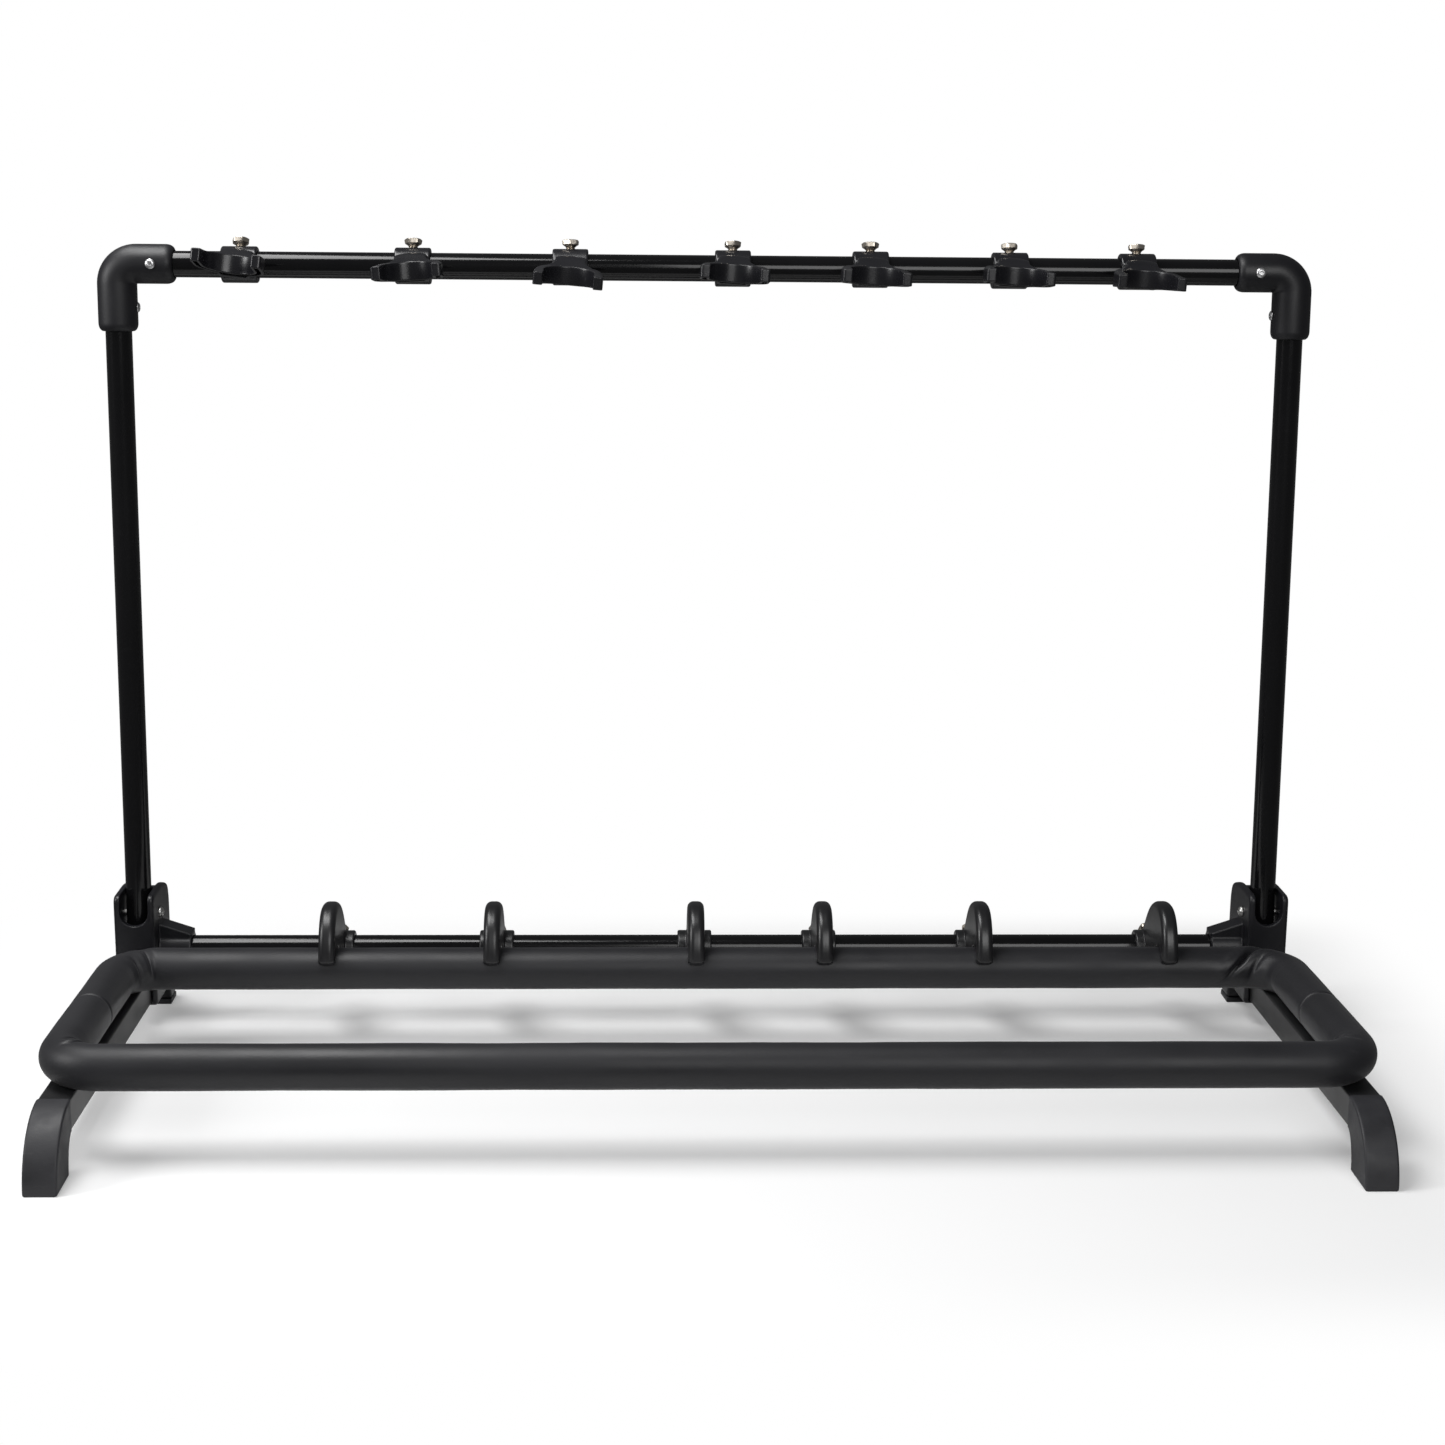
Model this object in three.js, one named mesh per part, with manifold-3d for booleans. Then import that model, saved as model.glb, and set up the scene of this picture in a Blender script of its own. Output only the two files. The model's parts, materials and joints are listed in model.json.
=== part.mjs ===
// A folding guitar rack. Millimetres, +Z up, front towards -Y, origin on the floor at the middle of the
// footprint. Two square legs carry hinge brackets at the back. Two uprights and a top bar fold forward on
// the brackets' pins. Seven yokes ride on the top bar, six dividers on a lower bar between the brackets,
// and a foam-covered loop lies on the legs.
import * as THREE from "three";
import { mergeVertices } from "three/addons/utils/BufferGeometryUtils.js";
import Module from "manifold-3d";

const wasm = await Module();
wasm.setup();

const { degToRad } = THREE.MathUtils;

// Overall sizes
const overallWidth = 1039; // across the foam on the loop's sides
const overallDepth = 455; // front feet to rear heels
const topBarHeight = 659.5; // axis of the top bar above the floor

// Gaps between pieces
const fit = 0.3; // round a tube or shank in its bore, and between faces that meet
const looseFit = 1; // each side of an upright in its bracket's channel

// Round steel tube of the uprights, the bars and the loop
const tubeRadius = 11;
const tubeWall = 1.2;

// Foam loop
const foamRadius = 17.9;
const foamOverhang = 4; // how far the loop's sides stand outside the legs' axes
const loopFrontInset = 19.5; // from the legs' front ends to the loop's front bar
const loopRearGap = 36.6; // from the loop's rear bar to the brackets
const loopCornerRadius = 35;

// Side legs
const legSize = 25;
const legWall = 1.5;
const legTilt = degToRad(1.234); // they fall towards the back
const legFrontHeight = 42; // axis at the front end above the floor

// Front feet
const footWidth = 26;
const footShoulder = 26.2; // height of the face that meets the leg
const footReach = 56.3; // from the front of the foot to the leg's end
const footLength = 40.6; // flat on the floor
const footEdge = 1.2;
const spigotLength = 30;

// Hinge brackets
const bracketWidth = 35;
const bracketHeight = 120.5;
// The bracket's outline, back from its front face and up from the floor
const cheekTopEnd = [46, bracketHeight];
const cheekShoulder = [68, 113.5];
const cheekBack = 100;
const heelRise = 48;
const heelTop = 30;
const heelSlope = 6;
const bracketBase = 20;
const bracketDepth = 72; // its cheeks, front to back
const heelReach = 16.5; // how far the heel stands out behind the cheeks
const heelLength = 24.5;
const bracketEdge = 2;
const frontWall = 6;
const notchBottom = 92.9;
const channelFloor = 71;
const legPocketDepth = 56;
const hingeHeight = 99;
const hingeSetback = 25.1; // from the bracket's front face to the pin
const stopWebHeight = 9;
const stopWebThickness = 6;
const padThickness = 5;
const padStudRadius = 3;
const padStudLength = 7;

// Hinge pin bolts and their nuts
const pinRadius = 3;
const pinHeadRadius = 4.7;
const pinHeadHeight = 3.2;
const pinNutWidth = 10;
const pinNutHeight = 3.2;

// Uprights
const uprightLean = degToRad(2.23);
const uprightTail = 25; // below the pin

// Corner elbows and their rivets
const elbowRadius = 16.5;
const elbowBend = 17;
const elbowArm = 48.6; // along the top bar
const elbowDrop = 56; // down the upright
const rivetArm = 31;
const rivetDrop = 36;
const rivetHeadRadius = 4.2;
const rivetHeadHeight = 1.9;
const rivetShankRadius = 2;
const rivetLength = 9;

// Collars on both bars, and their clamp bolts
const collarRadius = 15.2;
const collarWidth = 30;
const boltRadius = 4;
const boltHexWidth = 13;
const boltHeadHeight = 4.3;
const yokeBoltLean = degToRad(13);
const yokeBoltReach = 18.4; // from the bar's axis to the underside of the head
const dividerBoltLean = degToRad(60);
const dividerBoltReach = 19.2;

// Yokes, with the place of each along the bar and how its fork is turned
const yokes = [
  { place: -394.3, roll: 6.5, pitch: 9.5 },
  { place: -249.4, roll: -4, pitch: 2 },
  { place: -117.1, roll: 4.9, pitch: -3.3 },
  { place: 20, roll: 4, pitch: 2.4 },
  { place: 136.6, roll: 3.3, pitch: 0.4 },
  { place: 255, roll: 3.8, pitch: 1.4 },
  { place: 363.5, roll: 3.4, pitch: -1.6 },
];
const padFront = 16; // flat front of the collar, from the bar's axis
const padHalfWidth = 13;
const padTop = 9;
const padBottom = 11;
const forkPinRadius = 3;
const forkPinEnd = 12.2;
const forkReach = 73; // tips, from the bar's axis
const forkCentre = 53; // centre of the crescent's arcs
const forkInner = 20.8;
const forkWall = 7.9; // width of a prong
const forkSkin = 2.2; // thickness of the hollow fork's sides
const forkRoof = 2.5;
const forkRootWall = 6;
const forkRootTop = 11.5;
const forkRootBottom = -13.5;
const forkWaist = 32; // where the root's slope meets the prongs
const forkWaistTop = 3.6;
const forkWaistBottom = -11.8;
const forkTipTop = 0.6;
const forkTipBottom = -9.4;
const forkCrown = 44; // radius of the arch across the fork's top

// Lower bar in its sockets
const lowerBarSetback = 28.8; // from the brackets' front faces
const lowerBarHeight = 65;
const socketRadius = 15;
const socketLength = 28.5;
const ribTop = 90;
const ribTip = 80.5;
const ribHalfDepth = 10;

// Dividers
const dividerPlaces = [-324.5, -184.1, -9, 101.5, 239.1, 399.7];
const dividerThickness = 14.3;
const dividerEdge = 1.5;
const dividerTop = 55.5; // above the lower bar's axis
// The fin's outline, along and up from the lower bar's axis
const dividerHeel = [10.5, 10.5];
const dividerBack = [-8, 34]; // pull of the curve up the back
const dividerCrest = 52; // the highest point, in front of the bar
const dividerCrestPull = 32;
const dividerNose = 16; // pull of the curve over the nose
const dividerBrow = 38;
const dividerLip = 3.5; // thickness of the lip in front of the foam
const dividerLipRise = 12;
const saddleStart = degToRad(155);
const saddleEnd = degToRad(12);
const dividerUnderside = [[-10, -7], [6, -8]];
const saddleGap = 1;

// Screws that hold the loop down on the legs
const loopScrewRadius = 2.5;
const loopScrewHeadRadius = 5;
const loopScrewHeadHeight = 2.5;
const loopScrewOffset = 60; // behind the middle of the loop

// Facets
const roundSegments = 20;
const smallSegments = 8;
const bendSteps = 5;

// Places worked out from the sizes
const frontY = -overallDepth / 2;
const legX = overallWidth / 2 - foamRadius - foamOverhang;
const legFrontY = frontY + footReach;
const bracketFrontY = overallDepth / 2 - heelReach - bracketDepth;
const hingeY = bracketFrontY + hingeSetback;
const barRise = (topBarHeight - hingeHeight) / Math.cos(uprightLean);
const topBarY = hingeY + (topBarHeight - hingeHeight) * Math.tan(uprightLean);
const lowerBarY = bracketFrontY + lowerBarSetback;
const legLength = (bracketFrontY + legPocketDepth - legFrontY) / Math.cos(legTilt);
const loopX = legX + foamOverhang;
const loopLift = legSize / 2 + fit + foamRadius;
const loopFront = loopFrontInset;
const loopRear = (bracketFrontY - legFrontY) / Math.cos(legTilt) - loopRearGap;
const loopMiddle = (loopFront + loopRear) / 2;
const boreRadius = tubeRadius + fit;

const glossBlack = { color: 0x0b0b0c, roughness: 0.22, metalness: 0.3 };
const satinBlack = { color: 0x151517, roughness: 0.5, metalness: 0.4 };
const mouldedBlack = { color: 0x1b1b1d, roughness: 0.55, metalness: 0 };
const rubberBlack = { color: 0x1c1c1e, roughness: 0.8, metalness: 0 };
const foamBlack = { color: 0x232326, roughness: 0.95, metalness: 0 };
const nickel = { color: 0xb9b4aa, roughness: 0.3, metalness: 1 };
const aluminium = { color: 0xd2d3d6, roughness: 0.35, metalness: 1 };

// A closed geometry as a solid that can be joined and cut
function solid(geometry) {
  const bare = geometry.clone();
  bare.deleteAttribute("normal");
  bare.deleteAttribute("uv");
  const merged = mergeVertices(bare, 1e-4);
  const mesh = new wasm.Mesh({
    numProp: 3,
    vertProperties: merged.attributes.position.array,
    triVerts: new Uint32Array(merged.index.array),
  });
  return new wasm.Manifold(mesh);
}

function geometryOf(body) {
  const mesh = body.getMesh();
  const geometry = new THREE.BufferGeometry();
  geometry.setAttribute("position", new THREE.BufferAttribute(mesh.vertProperties, 3));
  geometry.setIndex(new THREE.BufferAttribute(mesh.triVerts, 1));
  geometry.computeVertexNormals();
  return geometry;
}

function join(...geometries) {
  return geometries.map(solid).reduce((whole, body) => whole.add(body));
}

function cut(body, ...tools) {
  return tools.map(solid).reduce((left, tool) => left.subtract(tool), body);
}

function piece(name, geometry, finish) {
  const mesh = new THREE.Mesh(geometry, new THREE.MeshStandardMaterial(finish));
  mesh.name = name;
  return mesh;
}

function box(width, depth, height) {
  return new THREE.BoxGeometry(width, depth, height);
}

function rodY(radius, length, segments = smallSegments) {
  return new THREE.CylinderGeometry(radius, radius, length, segments);
}

function rodX(radius, length, segments = smallSegments) {
  return rodY(radius, length, segments).rotateZ(Math.PI / 2);
}

function rodZ(radius, length, segments = smallSegments) {
  return rodY(radius, length, segments).rotateX(Math.PI / 2);
}

function hexZ(acrossFlats, height) {
  return rodZ(acrossFlats / Math.sqrt(3), height, 6);
}

function circlePoints(radius, segments) {
  return Array.from({ length: segments }, (_, index) => {
    const angle = (2 * Math.PI * index) / segments;
    return new THREE.Vector2(radius * Math.cos(angle), radius * Math.sin(angle));
  });
}

// A ring-shaped section
function ring(outer, inner, outerSegments = roundSegments, innerSegments = roundSegments) {
  const shape = new THREE.Shape(circlePoints(outer, outerSegments));
  shape.holes.push(new THREE.Path(circlePoints(inner, innerSegments).reverse()));
  return shape;
}

// A straight round tube along +Z from the origin
function tube(length) {
  return new THREE.ExtrudeGeometry(ring(tubeRadius, tubeRadius - tubeWall), {
    depth: length,
    bevelEnabled: false,
  });
}

// A section drawn in Y and Z, carried across X with its edges eased
function acrossX(shape, width, edge = 0, curveSegments = 6) {
  const geometry = new THREE.ExtrudeGeometry(shape, {
    depth: width - 2 * edge,
    bevelEnabled: edge > 0,
    bevelThickness: edge,
    bevelSize: edge,
    bevelOffset: -edge,
    bevelSegments: 1,
    curveSegments,
  });
  const turn = new THREE.Matrix4().makeBasis(
    new THREE.Vector3(0, 1, 0),
    new THREE.Vector3(0, 0, 1),
    new THREE.Vector3(1, 0, 0),
  );
  return geometry.translate(0, 0, edge - width / 2).applyMatrix4(turn);
}

// A closed outline whose corners, each [across, up, radius], are rounded
function roundedOutline(corners) {
  const shape = new THREE.Shape();
  corners.forEach(([across, up, radius], index) => {
    const corner = new THREE.Vector2(across, up);
    const before = new THREE.Vector2(...corners.at(index - 1));
    const after = new THREE.Vector2(...corners[(index + 1) % corners.length]);
    const enter = before.sub(corner).setLength(radius).add(corner);
    const leave = after.sub(corner).setLength(radius).add(corner);
    if (index === 0) shape.moveTo(enter.x, enter.y);
    else shape.lineTo(enter.x, enter.y);
    shape.quadraticCurveTo(across, up, leave.x, leave.y);
  });
  shape.closePath();
  return shape;
}

// A route through stations, with one step from each station to the next
class StationPath extends THREE.Curve {
  constructor(stations) {
    super();
    this.stations = stations;
  }

  getUtoTmapping(u) {
    return u;
  }

  getPoint(t, target = new THREE.Vector3()) {
    const last = this.stations.length - 1;
    const at = Math.min(t, 1) * last;
    const index = Math.min(Math.floor(at), last - 1);
    return target.lerpVectors(this.stations[index], this.stations[index + 1], at - index);
  }
}

function alongStations(shape, stations) {
  return new THREE.ExtrudeGeometry(shape, {
    extrudePath: new StationPath(stations),
    steps: stations.length - 1,
    bevelEnabled: false,
  });
}

// The stations of a quarter bend in the XY plane, from one angle to another
function bendXY(centreX, centreY, radius, start, end) {
  return Array.from({ length: bendSteps + 1 }, (_, step) => {
    const angle = start + ((end - start) * step) / bendSteps;
    const x = centreX + radius * Math.cos(angle);
    const y = centreY + radius * Math.sin(angle);
    return new THREE.Vector3(x, y, 0);
  });
}

// Moves geometry from the legs' sloping frame, whose origin is at a leg's front end, to the part's frame
function fromLegFrame(geometry) {
  return geometry.rotateX(-legTilt).translate(0, legFrontY, legFrontHeight);
}

function leg() {
  const section = (half) => {
    const outline = [[-half, -half], [half, -half], [half, half], [-half, half]];
    return outline.map(([across, up]) => new THREE.Vector2(across, up));
  };
  const shape = new THREE.Shape(section(legSize / 2));
  shape.holes.push(new THREE.Path(section(legSize / 2 - legWall).reverse()));
  const length = legLength - 2 * fit;
  const tubing = new THREE.ExtrudeGeometry(shape, { depth: length, bevelEnabled: false });
  return solid(tubing.rotateX(-Math.PI / 2).translate(0, fit, 0));
}

function drilledLeg(side) {
  const drill = rodZ(loopScrewRadius + fit, 2 * legSize);
  const place = [side * foamOverhang, loopMiddle + loopScrewOffset, 0];
  return geometryOf(cut(leg(), drill.translate(...place)));
}

function frontFoot() {
  const half = footShoulder / 2;
  const lean = half * Math.sin(legTilt);
  const rise = half * Math.cos(legTilt);
  const top = { y: legFrontY + lean, z: legFrontHeight + rise };
  const bottom = { y: legFrontY - lean, z: legFrontHeight - rise };
  const heel = frontY + footLength;
  const shape = new THREE.Shape();
  shape.moveTo(top.y, top.z);
  shape.absellipse(top.y, 0, top.y - frontY, top.z, Math.PI / 2, Math.PI, false);
  shape.lineTo(heel, 0);
  shape.absellipse(bottom.y, 0, bottom.y - heel, bottom.z, Math.PI, Math.PI / 2, true);
  shape.closePath();
  const side = legSize - 2 * legWall - 2 * fit;
  const spigot = fromLegFrame(box(side, spigotLength, side).translate(0, spigotLength / 2 - 2, 0));
  return geometryOf(join(acrossX(shape, footWidth, footEdge), spigot));
}

function bracketOutline() {
  const heelEnd = bracketDepth + heelReach;
  const sole = padThickness + fit;
  return roundedOutline([
    [0, bracketBase, 6],
    [0, bracketHeight, 5],
    [...cheekTopEnd, 12],
    [...cheekShoulder, 6],
    [bracketDepth, cheekBack, 6],
    [bracketDepth, heelRise, 12],
    [heelEnd, heelTop, 6],
    [heelEnd, sole, 3],
    [heelEnd - heelLength, sole, 3],
    [heelEnd - heelLength - heelSlope, bracketBase, 6],
  ]);
}

// The U-shaped notch in the bracket's front wall, and the channel behind it that the upright swings in
function channelTools() {
  const half = tubeRadius + looseFit;
  const notch = new THREE.Shape();
  notch.moveTo(-half, bracketHeight + 10);
  notch.lineTo(-half, notchBottom + half);
  notch.absarc(0, notchBottom + half, half, Math.PI, 2 * Math.PI, false);
  notch.lineTo(half, bracketHeight + 10);
  notch.closePath();
  const depth = frontWall + 2;
  const front = new THREE.ExtrudeGeometry(notch, { depth, bevelEnabled: false, curveSegments: 5 });
  const room = box(2 * half, bracketDepth + heelReach, bracketHeight);
  return [
    front.rotateX(Math.PI / 2).translate(0, frontWall + 1, 0),
    room.translate(0, frontWall + (bracketDepth + heelReach) / 2, channelFloor + bracketHeight / 2),
  ];
}

function bracketSocket(inward) {
  const face = (inward * bracketWidth) / 2;
  const middle = face + inward * (socketLength / 2 - 1);
  const barrel = rodX(socketRadius, socketLength + 2, roundSegments);
  const rib = new THREE.Shape();
  rib.moveTo(face - inward * 2, lowerBarHeight);
  rib.lineTo(face - inward * 2, ribTop);
  rib.lineTo(face + inward * socketLength, ribTip);
  rib.lineTo(face + inward * socketLength, lowerBarHeight);
  rib.closePath();
  const wedge = new THREE.ExtrudeGeometry(rib, { depth: 2 * ribHalfDepth, bevelEnabled: false });
  return [
    barrel.translate(middle, lowerBarSetback, lowerBarHeight),
    wedge.rotateX(Math.PI / 2).translate(0, lowerBarSetback + ribHalfDepth, 0),
  ];
}

// A bracket at its place in Y and Z, on the leg's axis in X; inward is the way to the rack's middle
function bracket(inward) {
  const half = bracketWidth / 2;
  const cheek = half - tubeRadius - looseFit;
  const body = acrossX(bracketOutline(), bracketWidth, bracketEdge, 3);
  const pocketSize = legSize + 2 * fit;
  const pocket = box(pocketSize, legPocketDepth + 20, pocketSize);
  const pocketEnd = (bracketFrontY + legPocketDepth - legFrontY) / Math.cos(legTilt);
  const legPocket = fromLegFrame(pocket.translate(0, pocketEnd - legPocketDepth / 2 - 10, 0));
  const bore = rodX(boreRadius, socketLength, roundSegments);
  const boreMiddle = inward * (half + socketLength / 2 + fit);
  const nutRecess = hexZ(pinNutWidth + 2 * fit, 2 * (pinNutHeight + fit)).rotateY(Math.PI / 2);
  const stud = rodZ(padStudRadius + fit, 2 * (padStudLength + fit));
  const web = box(2 * half - cheek, stopWebThickness, stopWebHeight);
  const stopFace = hingeSetback + tubeRadius + looseFit + 0.2;
  const webTop = bracketHeight - 2;
  const solidBody = cut(
    join(body, ...bracketSocket(inward)),
    ...channelTools(),
    bore.translate(boreMiddle, lowerBarSetback, lowerBarHeight),
    rodX(pinRadius + fit, 2 * bracketWidth).translate(0, hingeSetback, hingeHeight),
    nutRecess.translate(-inward * half, hingeSetback, hingeHeight),
    stud.translate(0, bracketDepth + heelReach - heelLength / 2, padThickness),
    legPocket.translate(0, -bracketFrontY, 0),
  );
  const stopWeb = web.translate(0, stopFace + stopWebThickness / 2, webTop - stopWebHeight / 2);
  return geometryOf(solidBody.add(solid(stopWeb)));
}

function footPad() {
  const padEdge = 0.8;
  const outline = roundedOutline([
    [-heelLength / 2, 0, 1.5],
    [heelLength / 2, 0, 1.5],
    [heelLength / 2, padThickness, 1],
    [-heelLength / 2, padThickness, 1],
  ]);
  const stud = rodZ(padStudRadius, padStudLength).translate(0, 0, padThickness + padStudLength / 2 - 1);
  return geometryOf(join(acrossX(outline, bracketWidth - 1, padEdge, 2), stud));
}

// The pin runs along X from its domed head on the bracket's inner face
function hingePin(inward) {
  const half = bracketWidth / 2;
  const head = new THREE.Path();
  head.moveTo(0, 0);
  head.lineTo(pinHeadRadius, 0);
  head.lineTo(pinHeadRadius, 0.8);
  head.quadraticCurveTo(pinHeadRadius, pinHeadHeight, 0, pinHeadHeight);
  const dome = new THREE.LatheGeometry(head.getPoints(3), smallSegments).rotateZ(-Math.PI / 2);
  const shank = rodX(pinRadius, bracketWidth + 1);
  const flipped = inward > 0 ? dome : dome.rotateY(Math.PI);
  return geometryOf(join(flipped.translate(inward * (half + fit), 0, 0), shank));
}

function hingeNut() {
  const nut = join(hexZ(pinNutWidth, pinNutHeight));
  return geometryOf(cut(nut, rodZ(pinRadius + fit, 4 * pinNutHeight)).rotate([0, 90, 0]));
}

function upright() {
  const body = solid(tube(uprightTail + barRise - elbowBend).translate(0, 0, -uprightTail));
  const rivetHeight = barRise - rivetDrop;
  return cut(
    body,
    rodX(pinRadius + fit, 4 * tubeRadius),
    rodX(rivetShankRadius + fit, 4 * tubeRadius).translate(0, 0, rivetHeight),
  );
}

function topBar() {
  const half = legX - elbowBend;
  const drills = [-1, 1].map((side) => {
    const drill = rodY(rivetShankRadius + fit, 2 * tubeRadius);
    return drill.translate(side * (legX - rivetArm), -tubeRadius, 0);
  });
  const body = tube(2 * half).rotateY(Math.PI / 2).translate(-half, 0, 0);
  return geometryOf(cut(solid(body), ...drills));
}

// The elbow's origin is where the tubes' axes would cross
function elbow(inward) {
  const disc = new THREE.Shape(circlePoints(elbowRadius, roundSegments));
  const route = bendXY(inward * elbowBend, -elbowBend, elbowBend, inward > 0 ? Math.PI : 0, Math.PI / 2);
  const stations = [
    new THREE.Vector3(0, -elbowDrop, 0),
    ...route,
    new THREE.Vector3(inward * elbowArm, 0, 0),
  ];
  const body = alongStations(disc, stations).rotateX(Math.PI / 2);
  const armBore = rodX(boreRadius, elbowArm, roundSegments);
  const dropBore = rodZ(boreRadius, elbowDrop, roundSegments);
  const stop = elbowBend - fit;
  const rivet = rodY(rivetShankRadius + fit, elbowRadius + 4);
  const sideRivet = rodX(rivetShankRadius + fit, elbowRadius + 4);
  const halfRivet = elbowRadius / 2 + 2;
  return geometryOf(
    cut(
      solid(body),
      armBore.translate(inward * (stop + elbowArm / 2), 0, 0),
      dropBore.translate(0, 0, -stop - elbowDrop / 2),
      rivet.translate(inward * rivetArm, -halfRivet, 0),
      sideRivet.translate(inward * halfRivet, 0, -rivetDrop),
    ),
  );
}

// A domed rivet whose head faces -Y, measured from the axis of the tube that it holds
function rivet() {
  const seat = elbowRadius + fit;
  const head = new THREE.Path();
  head.moveTo(0, 0);
  head.lineTo(rivetHeadRadius, 0);
  head.quadraticCurveTo(rivetHeadRadius, rivetHeadHeight, 0, rivetHeadHeight);
  const dome = new THREE.LatheGeometry(head.getPoints(3), smallSegments).rotateZ(Math.PI);
  const shank = rodY(rivetShankRadius, rivetLength);
  return geometryOf(
    join(dome.translate(0, -seat, 0), shank.translate(0, rivetLength / 2 - seat - 0.5, 0)),
  );
}

// A clamp bolt along +Z, measured from the axis of the bar that it clamps
function clampBolt(reach) {
  const start = tubeRadius + fit + 0.1;
  const length = reach + 1 - start;
  const head = hexZ(boltHexWidth, boltHeadHeight).translate(0, 0, reach + boltHeadHeight / 2);
  return geometryOf(join(rodZ(boltRadius, length).translate(0, 0, start + length / 2), head));
}

function boltHole(lean) {
  const reach = collarRadius + 5;
  const hole = rodZ(boltRadius + fit, reach).translate(0, 0, reach / 2 + 5);
  return hole.rotateX(-lean);
}

function yokeCollar() {
  const pad = box(2 * padHalfWidth, padFront / 2, padTop + padBottom);
  const padMiddle = (padTop - padBottom) / 2;
  const body = join(
    rodX(collarRadius, collarWidth, roundSegments),
    pad.translate(0, -padFront * 0.75, padMiddle),
  );
  const bore = rodX(boreRadius, 2 * collarWidth, roundSegments);
  const pinHole = rodY(forkPinRadius + fit, padFront).translate(0, -padFront / 2 - 2, 0);
  return geometryOf(cut(body, bore, pinHole, boltHole(yokeBoltLean)));
}

// The fork from above: a crescent on a neck, smaller all round by the inset
function forkPlan(inset, rootInset) {
  const outer = forkInner + forkWall - inset;
  const inner = forkInner + inset;
  const neck = padHalfWidth - inset;
  const root = -padFront - fit - rootInset;
  const tip = -forkReach + inset;
  const shoulder = Math.acos(neck / outer);
  const plan = new THREE.Shape();
  plan.moveTo(neck, root);
  plan.lineTo(neck, outer * Math.sin(shoulder) - forkCentre);
  plan.absarc(0, -forkCentre, outer, shoulder, 0, true);
  plan.lineTo(outer, tip);
  plan.lineTo(inner, tip);
  plan.absarc(0, -forkCentre, inner, 0, Math.PI, false);
  plan.lineTo(-inner, tip);
  plan.lineTo(-outer, tip);
  plan.absarc(0, -forkCentre, outer, Math.PI, Math.PI - shoulder, true);
  plan.lineTo(-neck, root);
  plan.closePath();
  const height = 4 * forkRootTop;
  const options = { depth: height, bevelEnabled: false, curveSegments: 5 };
  return new THREE.ExtrudeGeometry(plan, options).translate(0, 0, -height / 2);
}

// The fork from the side, its top and bottom lowered by the given amounts
function forkSide(topDrop, bottomDrop) {
  const root = -padFront;
  const beyond = -forkReach - 5;
  const side = new THREE.Shape();
  side.moveTo(root, forkRootTop - topDrop);
  side.lineTo(-forkWaist, forkWaistTop - topDrop);
  side.lineTo(beyond, forkTipTop - topDrop);
  side.lineTo(beyond, forkTipBottom - bottomDrop);
  side.lineTo(-forkWaist, forkWaistBottom - bottomDrop);
  side.lineTo(root, forkRootBottom - bottomDrop);
  side.closePath();
  return acrossX(side, 4 * forkInner);
}

// The fork from the front: arched on top, lowered by the given amount
function forkArch(drop) {
  const wide = forkInner + forkWall + 1;
  const swing = Math.asin(wide / forkCrown);
  const middle = forkRootTop - drop - forkCrown;
  const arch = new THREE.Shape();
  arch.moveTo(-wide, -forkCrown);
  arch.lineTo(wide, -forkCrown);
  arch.lineTo(wide, middle + forkCrown * Math.cos(swing));
  arch.absarc(0, middle, forkCrown, Math.PI / 2 - swing, Math.PI / 2 + swing, false);
  arch.closePath();
  const options = { depth: forkReach + 5, bevelEnabled: false, curveSegments: 8 };
  return new THREE.ExtrudeGeometry(arch, options).rotateX(Math.PI / 2);
}

function fork() {
  const outside = solid(forkPlan(0, 0)).intersect(solid(forkSide(0, 0))).intersect(solid(forkArch(0)));
  const hollow = solid(forkSide(forkRoof, 20)).intersect(solid(forkArch(forkRoof)));
  const inside = solid(forkPlan(forkSkin, forkRootWall)).intersect(hollow);
  const pinLength = padFront - forkPinEnd + 2;
  const pin = rodY(forkPinRadius, pinLength).translate(0, -forkPinEnd - pinLength / 2, 0);
  return geometryOf(outside.subtract(inside).add(solid(pin)));
}

// The divider's outline, from the lower bar's axis: a fin that saddles the loop's rear bar
function dividerOutline(saddleY, saddleZ) {
  const saddle = foamRadius + saddleGap;
  const front = saddleY - saddle - dividerLip;
  const lipY = saddleY + saddle * Math.cos(saddleStart);
  const lipZ = saddleZ + saddle * Math.sin(saddleStart);
  const shape = new THREE.Shape();
  shape.moveTo(...dividerHeel);
  const crestStart = -dividerCrest + dividerCrestPull;
  const browEnd = [front, saddleZ + dividerLipRise];
  shape.bezierCurveTo(...dividerBack, crestStart, dividerTop, -dividerCrest, dividerTop);
  shape.bezierCurveTo(front + dividerNose, dividerTop, front + 2, dividerBrow, ...browEnd);
  shape.lineTo(lipY, lipZ);
  shape.absarc(saddleY, saddleZ, saddle, saddleStart, saddleEnd, true);
  dividerUnderside.forEach(([along, up]) => shape.lineTo(along, up));
  shape.closePath();
  return shape;
}

function divider() {
  const rear = fromLegFrame(new THREE.BufferGeometry().setFromPoints([
    new THREE.Vector3(0, loopRear, loopLift),
  ])).getAttribute("position");
  const outline = dividerOutline(rear.getY(0) - lowerBarY, rear.getZ(0) - lowerBarHeight);
  const body = join(
    acrossX(outline, dividerThickness, dividerEdge, 5),
    rodX(collarRadius, collarWidth, roundSegments),
  );
  const bore = rodX(boreRadius, 2 * collarWidth, roundSegments);
  return geometryOf(cut(body, bore, boltHole(dividerBoltLean)));
}

function lowerBar() {
  const half = legX - bracketWidth / 2 - 2 * fit;
  return tube(2 * half).rotateY(Math.PI / 2).translate(-half, 0, 0);
}

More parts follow.
